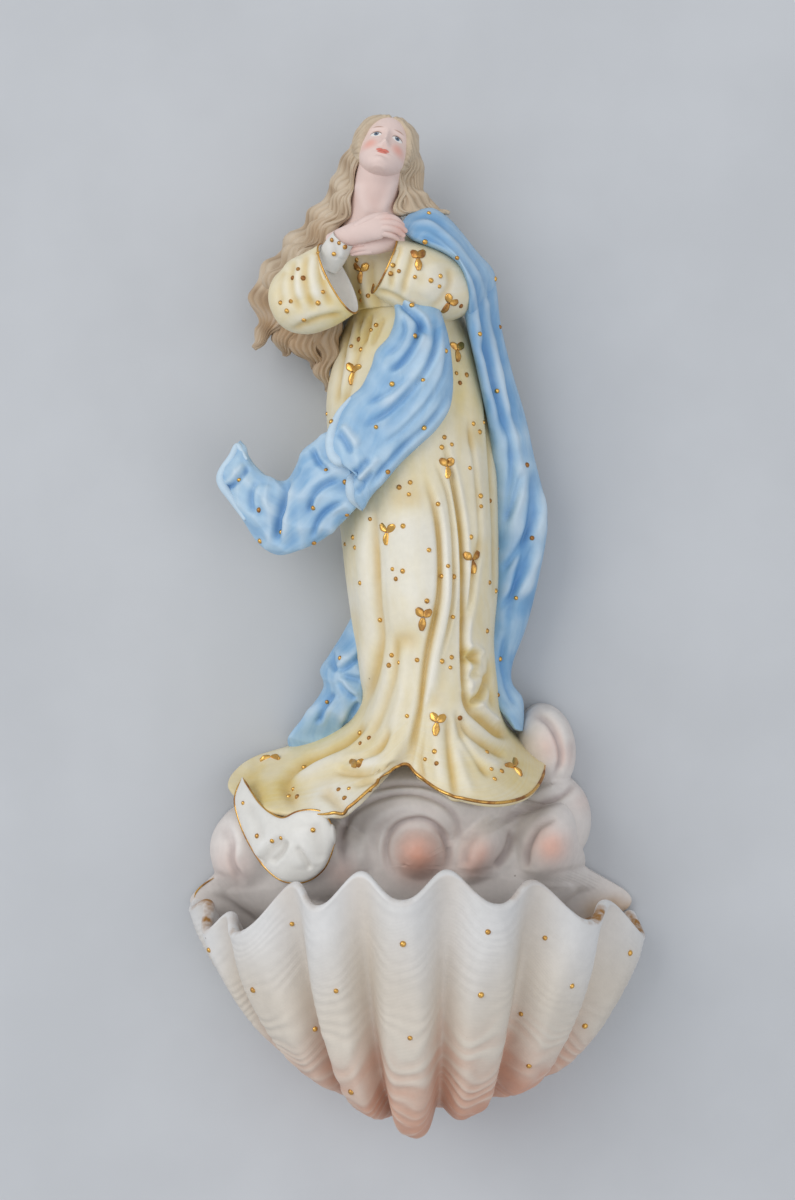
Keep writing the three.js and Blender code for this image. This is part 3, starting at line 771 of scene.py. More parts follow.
@dataclass(frozen=True)
class ShellBisque(Bisque):
    """Bisque with salmon growth bands that strengthen towards the base, a cream painted highlight on the band tops, and
    a worn gilt rim.
    """

    band: Colour = (204, 152, 126)
    cream: Colour = (228, 215, 200)
    gilt: Colour = (158, 112, 52)

    def paint(self, graph: Graph, colour: bpy.types.NodeSocket) -> bpy.types.NodeSocket:
        """Mixes in salmon in the band valleys, the cream painted highlight on the band tops, and the worn rim.

        Args:
            graph: the material's graph.
            colour: the tint with its painted shade and highlight.
        Returns:
            The painted colour.
        """
        growth = graph.mark("growth", vector=True)
        split = graph.node("ShaderNodeSeparateXYZ")
        graph.feed(split.inputs[0], growth)
        rise, rim = split.outputs[0], split.outputs[1]
        uneven = graph.ramp(graph.noise(80.0, 3.0), 0.3, 0.7, (0.2, 1.1))
        low = graph.math("MULTIPLY", graph.ramp(rise, 0.6, 0.0), uneven)
        valley = graph.ramp(split.outputs[2], 0.95, 0.2)
        band = graph.math("MULTIPLY", valley, graph.math("MULTIPLY", low, 0.75), clamp=True)
        colour = graph.mix(band, colour, linear(self.band))
        # Cream on the tops of the growth bands: a painted highlight.
        arch = graph.math("MULTIPLY", graph.ramp(split.outputs[2], 0.8, 1.0), graph.math("MULTIPLY", low, 0.5), clamp=True)
        colour = graph.mix(arch, colour, linear(self.cream))
        worn = graph.math("MULTIPLY", graph.ramp(graph.noise(70.0, 4.0, 0.65), 0.42, 0.66), rim, clamp=True)
        return graph.mix(worn, colour, linear(self.gilt))

    def height(self, graph: Graph, grain: bpy.types.NodeSocket) -> bpy.types.NodeSocket:
        """Adds fine growth lines to the grain.

        Args:
            graph: the material's graph.
            grain: height of the grain.
        Returns:
            The summed height.
        """
        split = graph.node("ShaderNodeSeparateXYZ")
        graph.feed(split.inputs[0], graph.mark("growth", vector=True))
        uneven = graph.math("MULTIPLY", graph.noise(46.0, 2.0), 6.0)
        wave = graph.math("SINE", graph.math("ADD", graph.math("MULTIPLY", split.outputs[0], 420.0), uneven))
        return graph.math("ADD", grain, graph.math("MULTIPLY", wave, 0.14))


@dataclass(frozen=True)
class CloudBisque(Bisque):
    """Bisque with a brown water stain."""

    stain: Colour = (176, 134, 74)

    def paint(self, graph: Graph, colour: bpy.types.NodeSocket) -> bpy.types.NodeSocket:
        """Mixes in the stain, broken up by noise.

        Args:
            graph: the material's graph.
            colour: the tint with its painted shade and highlight.
        Returns:
            The painted colour.
        """
        uneven = graph.ramp(graph.noise(60.0, 4.0), 0.3, 0.7, (0.4, 1.2))
        return graph.mix(graph.math("MULTIPLY", graph.mark("rust"), uneven, clamp=True), colour, linear(self.stain))


@dataclass(frozen=True)
class FaceBisque(Bisque):
    """Flesh bisque with a painted face, in the face's own places: across, up, and 1 on the front."""

    cheek: Colour = (232, 150, 128)
    lip: Colour = (214, 104, 84)
    brow: Colour = (172, 128, 104)
    lash: Colour = (92, 64, 54)
    white: Colour = (236, 232, 228)
    iris: Colour = (96, 118, 138)
    pupil: Colour = (40, 40, 48)

    def paint(self, graph: Graph, colour: bpy.types.NodeSocket) -> bpy.types.NodeSocket:
        """Paints cheeks, lips, brows and eyes as ovals on both sides of the middle line, with a small white painted
        highlight in each eye.

        Args:
            graph: the material's graph.
            colour: the flesh tint.
        Returns:
            The painted colour.
        """
        split = graph.node("ShaderNodeSeparateXYZ")
        graph.feed(split.inputs[0], graph.mark("face", vector=True))
        paired = graph.node("ShaderNodeCombineXYZ")
        graph.feed(paired.inputs[0], graph.math("ABSOLUTE", split.outputs[0]))
        graph.feed(paired.inputs[1], split.outputs[1])
        front = split.outputs[2]
        layers = (
            (self.cheek, (4.0, -3.6), (3.0, 2.7), 0.98, 0.62),
            (self.lip, (0.75, -5.95), (1.35, 0.48), 0.35, 0.85),
            (self.lip, (0.0, -6.75), (1.7, 0.6), 0.35, 0.85),
            (self.lash, (0.0, -6.32), (2.0, 0.13), 0.7, 0.55),
            (self.brow, (3.0, 2.35), (2.0, 0.34), 0.7, 0.7),
            (self.brow, (3.1, 1.05), (1.75, 0.22), 0.7, 0.45),
            (self.lash, (3.05, 0.12), (1.72, 0.98), 0.25, 0.9),
            (self.white, (3.05, -0.08), (1.6, 0.78), 0.15, 1.0),
            (self.iris, (3.0, 0.1), (0.74, 0.74), 0.2, 1.0),
            (self.pupil, (3.0, 0.12), (0.36, 0.36), 0.25, 1.0),
            # A small white dot on each iris: a painted highlight.
            (self.white, (2.78, 0.36), (0.17, 0.17), 0.5, 1.0),
        )
        for tint, middle, size, soft, strength in layers:
            oval = graph.node("ShaderNodeGroup", node_tree=EFFECTS.oval)
            graph.feed(oval.inputs["Place"], paired.outputs[0])
            oval.inputs["Middle"].default_value = (*middle, 0.0)
            oval.inputs["Size"].default_value = (*size, 1.0)
            oval.inputs["Soft"].default_value = soft
            share = graph.math("MULTIPLY", graph.math("MULTIPLY", oval.outputs["Mask"], front), strength, clamp=True)
            colour = graph.mix(share, colour, linear(tint))
        return colour


@dataclass(frozen=True)
class Gilt:
    """Fired gold, bright where it stands proud and worn brown in places."""

    name: str = "gilt"
    bright: Colour = (224, 176, 96)
    worn: Colour = (150, 98, 52)

    def material(self) -> bpy.types.Material:
        """Builds the material.

        Returns:
            The material.
        """
        made = bpy.data.materials.new(self.name)
        made.use_nodes = True
        graph = Graph(made.node_tree)
        shader = made.node_tree.nodes["Principled BSDF"]
        wear = graph.ramp(graph.noise(150.0, 4.0, 0.6), 0.42, 0.66)
        graph.feed(shader.inputs["Base Color"], graph.mix(wear, linear(self.bright), linear(self.worn)))
        graph.feed(shader.inputs["Roughness"], graph.math("ADD", graph.math("MULTIPLY", wear, 0.22), 0.24))
        graph.feed(shader.inputs["Metallic"], graph.math("SUBTRACT", 1.0, graph.math("MULTIPLY", wear, 0.35)))
        bump = graph.node("ShaderNodeBump")
        bump.inputs["Strength"].default_value = 0.2
        bump.inputs["Distance"].default_value = 0.0004
        graph.feed(bump.inputs["Height"], graph.noise(1500.0, 2.0))
        graph.feed(shader.inputs["Normal"], bump.outputs["Normal"])
        return made


# Colours of each finish: ground, wash, crest and pool-and-shade. The crest colour is a painted highlight on raised
# places, except on the shell, where it is the white of the upper part and the rim. The pool-and-shade colour in the
# hollows is partly pooled pigment and partly painted shade.
ROBE = Bisque(
    "robe", (234, 229, 213), (226, 204, 134), (240, 237, 228), (206, 172, 92), crest_gain=0.7, pool_and_shade_gain=0.85, streak=0.08
)
LINEN = Bisque("white", (226, 224, 218), (216, 206, 186), (238, 237, 234), (186, 180, 172), pool_and_shade_gain=0.6)
MANTLE = Bisque(
    "mantle", (176, 206, 228), (126, 172, 211), (208, 224, 235), (92, 146, 198), crest_gain=0.7, pool_and_shade_gain=0.7, streak=0.22
)
CLOUD = CloudBisque("cloud", (222, 215, 210), (226, 168, 146), (230, 226, 221), (174, 160, 157), tone=0.05, pool_and_shade_gain=0.7)
SKIN = Bisque("skin", (230, 206, 198), (226, 176, 162), (238, 220, 214), (206, 160, 146), tone=0.02, specks=0.0)
FACE = FaceBisque("face", (232, 209, 201), (226, 180, 166), (238, 221, 215), (210, 168, 154), tone=0.02, specks=0.0)
HAIR = Bisque(
    "hair", (201, 183, 158), (174, 143, 108), (222, 209, 191), (136, 107, 78), crest_gain=0.6, pool_and_shade_gain=0.95, streak=0.2
)
SHELL = ShellBisque(
    "shell", (216, 207, 194), (206, 154, 130), (221, 221, 221), (186, 162, 144), crest_gain=0.9, pool_and_shade_gain=0.6
)
GILT = Gilt()


# ---------------------------------------------------------------- robe


@dataclass
class Robe:
    """Bodice, skirt with its train, and both sleeves."""

    overrun: float = 14.0
    column: Rows = (
        (-1, -9, 17, 35),
        (-1, -19, 21.5, 38),
        (-0.5, -36, 25, 42),
        (1.5, -54, 25.5, 45),
        (3, -72.5, 24.5, 46),
        (4, -90.5, 23.5, 46),
        (4.5, -108.5, 21.5, 45),
        (6, -124, 21, 46),
    )
    hem: Rows = (
        (-180, 6, -8, -140),
        (-150, -18.5, -6, -139),
        (-120, -46, 3, -144.5),
        (-95, -55, 14, -152),
        (-75, -46.5, 31, -157.5),
        (-58, -34, 43, -159),
        (-38, -20.5, 51, -158),
        (-22, -11, 50, -151),
        (-9, -2, 44, -144.5),
        (0, 3, 48, -148),
        (12, 11, 55, -152.5),
        (33, 24, 56, -155),
        (58, 34.5, 45, -153.5),
        (90, 40, 28, -148),
        (120, 39.5, 8, -142),
        (150, 28, -6, -140),
    )
    flare_drop: float = 0.55
    hem_thickness: float = 2.0
    nail_hole: float = 9.0
    nail_depth: float = 12.0
    bodice_rows: Rows = ((-10, 19, 6.5, 32), (-8.5, 14, 13, 34), (-6.5, 8, 16, 35.5), (-5, 0, 16.5, 36), (-3, -9, 17, 35))
    right_rows: Rows = (
        (-39, 28, -5.8, 3, 4),
        (-37.2, 29.5, -5.9, 8, 8),
        (-33.2, 32.5, -6, 11.2, 9.5),
        (-28, 36, -4.7, 11.7, 9),
        (-21.5, 39.5, -1.4, 11.4, 6.8),
    )
    left_rows: Rows = (
        (17.2, 16.5, -4.5, 2.5, 3),
        (15.8, 23.4, -4.5, 5.7, 6.4),
        (10.5, 30, -3.8, 9.6, 9.4),
        (3.2, 35, -1.6, 10.6, 9.4),
        (-3, 37.8, 0.6, 9.8, 8.4),
        (-7.6, 38.8, 2.6, 8.9, 7.6),
    )
    skirt_folds: tuple[Stroke, ...] = (
        Stroke(20, 1.6, ((405, 500), (412, 550), (414, 590), (408, 640))),
        Stroke(4.5, -1.9, ((375, 498), (374, 545), (376, 600), (379, 636), (374, 669), (364, 700), (352, 742)), -0.35),
        Stroke(7, 0.9, ((365, 520), (363, 580), (366, 640), (360, 690))),
        Stroke(5, -1.2, ((395, 630), (394, 668), (383, 704), (367, 745)), -0.3),
        Stroke(7, 0.9, ((405, 640), (402, 690), (391, 735))),
        Stroke(3.6, -1.9, ((425, 476), (435, 508), (440, 545), (440, 590), (434, 622), (426, 662), (420, 704), (413, 745), (407, 773)), 0.3),
        Stroke(5, 1.0, ((447, 560), (447, 610), (438, 655), (430, 700))),
        Stroke(2.2, -1.1, ((434, 460), (447, 490), (453, 525), (455, 565), (453, 600), (447, 632), (438, 668)), 0.2),
        Stroke(2.8, -2.1, ((443, 440), (453, 478), (461, 525), (464, 570), (464, 620), (464, 655), (466, 692), (473, 716)), 0.3),
        Stroke(2.2, -0.8, ((468, 415), (474, 470), (478, 520), (480, 560))),
        Stroke(3.2, -1.4, ((485, 385), (490, 430), (493, 480), (496, 548), (495, 605))),
        Stroke(2.8, -1.2, ((478, 545), (473, 580), (470, 605), (464, 632)), 0.3),
        Stroke(3.6, -2.3, ((462, 655), (470, 657), (481, 659)), -0.2),
        Stroke(3.0, 0.9, ((466, 646), (477, 648), (484, 656))),
        Stroke(3.0, 0.6, ((465, 669), (474, 667), (482, 663))),
        Stroke(3.2, -1.0, ((466, 679), (473, 675), (479, 671)), -0.3),
        Stroke(4.0, 0.6, ((468, 690), (474, 682), (481, 676))),
        Stroke(3.2, -1.8, ((488, 672), (486, 684), (480, 697), (471, 703)), 0.3),
        Stroke(2.4, -0.9, ((490, 655), (490, 677), (491, 691), (492, 707))),
        Stroke(3.6, -2.0, ((463, 690), (471, 709), (485, 722), (499, 733), (511, 735)), -0.3),
        Stroke(3.6, 1.2, ((476, 702), (488, 714), (501, 724))),
        Stroke(3.4, -1.4, ((461, 714), (468, 730), (480, 741), (496, 751), (507, 757)), -0.3),
        Stroke(3.4, -1.1, ((456, 708), (463, 738), (477, 760), (490, 778)), -0.2),
        Stroke(3.4, -1.0, ((427, 700), (422, 731), (419, 762), (424, 782))),
        Stroke(4.0, -1.0, ((447, 715), (450, 760), (456, 800))),
        Stroke(7, 1.0, ((438, 705), (437, 745), (442, 785))),
        Stroke(6, 0.9, ((460, 736), (478, 757), (502, 768))),
        Stroke(5, 0.7, ((455, 745), (463, 772), (472, 795))),
        Stroke(9, 1.4, ((298, 788), (324, 768), (355, 761), (388, 768))),
        Stroke(4, -1.4, ((366, 722), (347, 742), (322, 756), (300, 770)), 0.3),
        Stroke(3.4, -1.1, ((390, 726), (380, 748), (362, 760), (340, 764)), 0.2),
        Stroke(3, -1.3, ((334, 771), (366, 773), (398, 763))),
        Stroke(2.6, -0.9, ((352, 786), (382, 778), (400, 769))),
        Stroke(5, -1.4, ((320, 752), (299, 766), (286, 782), (297, 810)), 0.3),
        Stroke(5, -1.0, ((263, 760), (251, 780), (262, 806))),
        Stroke(8, 0.8, ((296, 747), (268, 759), (244, 776))),
        Stroke(5, -1.0, ((322, 790), (334, 800), (346, 815))),
        Stroke(3.6, -1.1, ((349, 318), (341, 360), (335, 408)), -0.3),
        Stroke(3.6, -1.0, ((371, 316), (358, 350), (348, 388), (342, 415))),
        Stroke(5, 0.8, ((360, 318), (350, 355), (341, 400))),
        Stroke(3, -0.8, ((383, 316), (378, 330), (371, 345))),
        Stroke(2.2, -0.9, ((353, 318), (348, 334), (342, 356)), 0.3),
        Stroke(2.2, -0.9, ((362, 315), (358, 332), (354, 352)), 0.3),
        Stroke(2.2, -0.8, ((371, 314), (368, 328), (364, 344)), 0.3),
        Stroke(8, 0.6, ((462, 330), (468, 380), (474, 430))),
        Stroke(9, 0.9, ((472, 440), (477, 500), (481, 545))),
    )
    right_folds: tuple[Stroke, ...] = (
        Stroke(4, -0.7, ((319, 248), (320, 266), (324, 288), (332, 308)), 0.2),
        Stroke(4.5, -0.8, ((308, 252), (304, 272), (307, 294), (316, 312)), 0.2),
        Stroke(4.5, -0.7, ((296, 259), (291, 276), (293, 296), (302, 314)), 0.2),
        Stroke(4, -0.5, ((284, 268), (279, 286), (282, 306))),
        Stroke(7, 0.5, ((302, 256), (298, 276), (301, 300))),
        Stroke(7, 0.5, ((314, 252), (312, 274), (318, 300))),
        Stroke(3.4, -0.9, ((345, 315), (332, 316), (318, 319), (303, 325), (290, 331)), -0.3),
    )
    left_folds: tuple[Stroke, ...] = (
        Stroke(2.8, -0.5, ((392, 241), (386, 256), (381, 272), (377, 288))),
        Stroke(3, -0.65, ((402, 243), (396, 260), (392, 276), (391, 293)), 0.2),
        Stroke(3.4, -0.6, ((414, 248), (411, 264), (405, 282), (402, 299)), 0.2),
        Stroke(4, -0.4, ((447, 266), (450, 282), (442, 298), (428, 310))),
        Stroke(9, 0.5, ((432, 262), (434, 280), (424, 298))),
        Stroke(3, -0.8, ((375, 290), (386, 293), (396, 297), (410, 306), (424, 313))),
    )
    bodice_folds: tuple[Stroke, ...] = (
        Stroke(4, -0.6, ((352, 256), (356, 285), (360, 312))),
        Stroke(4, -0.6, ((372, 256), (372, 285), (382, 312))),
        Stroke(4, 0.5, ((362, 256), (364, 285), (371, 312))),
    )
    tint_patches: tuple[Patch, ...] = (
        Patch((366, 285), 30, 0.4),
        # The next two patches are painted shade: ochre in the pocket of the zigzag fold and at the end of a groove
        # lower down.
        Patch((469, 657), 7, 1.4),
        Patch((474, 701), 6, 1.0),
        Patch((360, 330), 30, 0.6),
        # Less wash on the thigh: a paler patch that is a painted highlight.
        Patch((412, 560), 42, -0.6),
        Patch((300, 295), 22, 0.25),
        Patch((265, 790), 42, 0.5),
        Patch((330, 745), 40, 0.35),
        Patch((330, 800), 20, -0.9),
        Patch((515, 765), 40, 0.4),
        # Less wash on the left flank: a paler patch that is painted light where the flank lies in shade.
        Patch((348, 600), 18, -0.3),
        Patch((480, 690), 26, 0.4),
        Patch((478, 350), 30, 0.4),
        Patch((470, 405), 22, 0.5),
        Patch((440, 290), 22, -0.3),
    )
    hem_edge: Array = field(default_factory=lambda: np.zeros((0, 3)))
    cuffs: dict[str, Array] = field(default_factory=dict)

    def bearings(self, count: int) -> Array:
        """Bearings round a section, closer together at the front: pi * (0.62 u + 0.38 u^3) for u from -1 to 1."""
        u = np.linspace(-1, 1, count, endpoint=False)
        return math.pi * (0.62 * u + 0.38 * u**3)

    def sections(self, rows: Array, bearing: Array) -> Array:
        """Ovals that reach from behind the wall to the front: x + hw sin b, middle + half cos b.

        Args:
            rows: x, z, half width and front of each section.
            bearing: bearings of the points.
        Returns:
            The grid.
        """
        x, z, wide, front = (rows[:, k, None] for k in range(4))
        middle, half = (front - self.overrun) / 2, (front + self.overrun) / 2
        across = x + wide * np.sin(bearing)
        depth = middle + half * np.cos(bearing)
        return np.stack([across, -depth, z + 0 * bearing], -1)

    def hem_points(self, bearing: Array) -> Array:
        """The hem line at each bearing, on cubics between its rows."""
        table = np.asarray(self.hem, float)
        degrees = np.degrees(bearing)
        size = len(table)
        k = np.searchsorted(table[:, 0], degrees, side="right") - 1
        start, end = table[k, 0], np.where(k + 1 < size, table[(k + 1) % size, 0], table[0, 0] + 360)
        t = ((degrees - start) / (end - start))[:, None]
        a, b, c, d = (table[(k + j) % size, 1:] for j in (-1, 0, 1, 2))
        rise, fall = (c - a) / 2, (d - b) / 2
        row = b + t * rise + t**2 * (3 * (c - b) - 2 * rise - fall) + t**3 * (2 * (b - c) + rise + fall)
        return np.stack([row[:, 0], -row[:, 1], row[:, 2]], -1)

    def skirt(self) -> Surface:
        """Column, then a flare that bends out to the hem line, a rounded hem edge and a hollow underside."""
        bearing = self.bearings(376)
        column = self.sections(smooth_rows(self.column, 158), bearing)
        top, hem = column[-1], self.hem_points(bearing)
        bend = top.copy()
        bend[:, 2] += self.flare_drop * (hem[:, 2] - top[:, 2])
        t = np.linspace(0, 1, 67)[1:, None, None]
        flare = (1 - t) ** 2 * top + 2 * t * (1 - t) * bend + t**2 * hem
        made = Surface(np.concatenate([column, flare])).press(self.skirt_folds, (12, 9), 0.9)
        edge = made.rings[-1]
        on = unit(made.rings[-1] - made.rings[-3])
        turn = np.linspace(0, math.pi, 9)[1:, None, None]
        half = self.hem_thickness / 2
        roll = edge + on * half * np.sin(turn) - made.normals()[-1] * half * (1 - np.cos(turn))
        share = np.array((0.85, 0.6, 0.35, 0.12))[:, None, None]
        middle = roll[-1].mean(0) + np.array((0, 0, 9.0))
        under = middle + (roll[-1] - middle) * share
        self.hem_edge = edge + on * 0.55 * half
        whole = Surface(np.concatenate([made.rings, roll, under]))
        more = len(whole.rings) - len(made.rings)
        for name, values in made.marks.items():
            whole.marks[name] = np.concatenate([values, np.repeat(values[-1:], more, 0)])
        return whole.stain(self.tint_patches, 0.38).flat_back()

    def bodice(self) -> Surface:
        """The bodice, with the nail hole in its flat back: points near its edge move on to it, those within sink."""
        made = Surface(self.sections(smooth_rows(self.bodice_rows, 90), self.bearings(240)))
        made.press(self.bodice_folds).stain(self.tint_patches, 0.35).flat_back()
        x, y, z = np.moveaxis(made.rings, -1, 0)
        half, far, back = self.nail_hole / 2, np.hypot(x, z), y > -0.01
        scale = np.where(back & (np.abs(far - half) < 0.5), half / np.maximum(far, 0.1), 1.0)
        x *= scale
        z *= scale
        y[back & (far < half - 0.5)] = -self.nail_depth
        return made

    def sleeve(self, name: str, rows: Rows, folds: tuple[Stroke, ...]) -> Surface:
        """A wide sleeve, with its cuff ring kept for the gilt line.

        Args:
            name: key of the cuff.
            rows: rows of the limb.
            folds: its folds.
        Returns:
            The surface.
        """
        made = limb(rows, 140, 170, (1.0, -6.0)).press(folds, (9, 8), 0.55)
        self.cuffs[name] = made.rings[-8]
        return made.stain(self.tint_patches, 0.38)

    def build(self) -> list[bpy.types.Object]:
        """Builds and dresses the pieces.

        Returns:
            The pieces.
        """
        finish = ROBE.material()
        return [
            make_piece("robe_bodice_visual", [self.bodice()], finish, ("robe_bodice",)),
            make_piece("robe_skirt_visual", [self.skirt()], finish, ("robe_skirt",)),
            make_piece(
                "right_sleeve_visual", [self.sleeve("right", self.right_rows, self.right_folds)], finish, ("right_sleeve",)
            ),
            make_piece(
                "left_sleeve_visual", [self.sleeve("left", self.left_rows, self.left_folds)], finish, ("left_sleeve",)
            ),
        ]


@dataclass
class Linen:
    """White undersleeve at the wrist and the turned-back lining of the train."""

    robe: Robe
    wrist_rows: Rows = (
        (327, 263, 37.5, 4.2, 3.2),
        (333, 255, 39.5, 4.2, 3.4),
        (338, 247, 41.8, 4.0, 3.4),
        (343.5, 238.5, 43.4, 3.5, 3.0),
    )
    mouth_depth: float = 2.5
    lining_rows: Rows = (
        (243, 778, 241, 780, 22, 21, 1.0),
        (250, 790, 235, 800, 27, 24, 2.0),
        (259, 803, 241, 825, 32, 28, 2.4),
        (270, 813, 252, 848, 37, 33, 2.8),
        (283, 818, 266, 868, 41, 37, 3.0),
        (297, 812, 284, 881, 44, 41, 3.2),
        (311, 810, 306, 881, 46, 43, 3.2),
        (323, 813, 324, 868, 47, 45, 3.0),
        (331, 824, 334, 845, 47, 46, 2.4),
    )
    wrist_folds: tuple[Stroke, ...] = (
        Stroke(3, -0.5, ((331, 238), (333, 248), (337, 260))),
        Stroke(3, 0.5, ((341, 238), (342, 248), (340, 259))),
    )
    lining_folds: tuple[Stroke, ...] = (
        Stroke(5, -0.9, ((258, 866), (268, 852), (284, 836)), 0.4),
        Stroke(9, 0.5, ((300, 870), (302, 848), (300, 828))),
        Stroke(6, -0.4, ((322, 862), (318, 842), (314, 822))),
        Stroke(6, -0.5, ((246, 800), (256, 822), (262, 842))),
        Stroke(3.2, -1.0, ((287, 840), (281, 854), (270, 863)), 0.3),
        Stroke(3.2, -0.9, ((297, 846), (304, 858), (311, 870)), 0.3),
    )
    lining_edges: list[Array] = field(default_factory=list)

    def mouth(self) -> Surface:
        """The white inside of the wide sleeve: a thin dish, scaled by cos t and sunk by sin t from the cuff ring."""
        ring = self.robe.cuffs["right"]
        middle = ring.mean(0)
        inward = unit(np.cross(ring[0] - middle, ring[len(ring) // 4] - middle))
        inward = inward if inward[0] < 0 else -inward
        t = np.linspace(0.12, 1.5, 16)[:, None, None]
        front = middle + (ring - middle) * 0.99 * np.cos(t) + inward * (self.mouth_depth * np.sin(t) - 0.75)
        back = front + inward * 0.5
        return Surface(np.concatenate([back[::-1], front]))

    def build(self) -> list[bpy.types.Object]:
        """Builds and dresses the pieces.

        Returns:
            The pieces.
        """
        finish = LINEN.material()
        wrist = drawn_limb(self.wrist_rows, 60, 70, (1.0, -1.2)).press(self.wrist_folds)
        lining = ribbon(self.lining_rows, 110, 120, 0.6, (0.6, 1.2)).press(self.lining_folds)
        self.lining_edges = [lining.rings[7:-5, 0], lining.rings[7:-5, 60]]
        return [
            make_piece("right_undersleeve_visual", [self.mouth(), wrist], finish, ("right_undersleeve",)),
            make_piece("hem_lining_visual", [lining], finish, ("hem_lining",)),
        ]


# ---------------------------------------------------------------- mantle


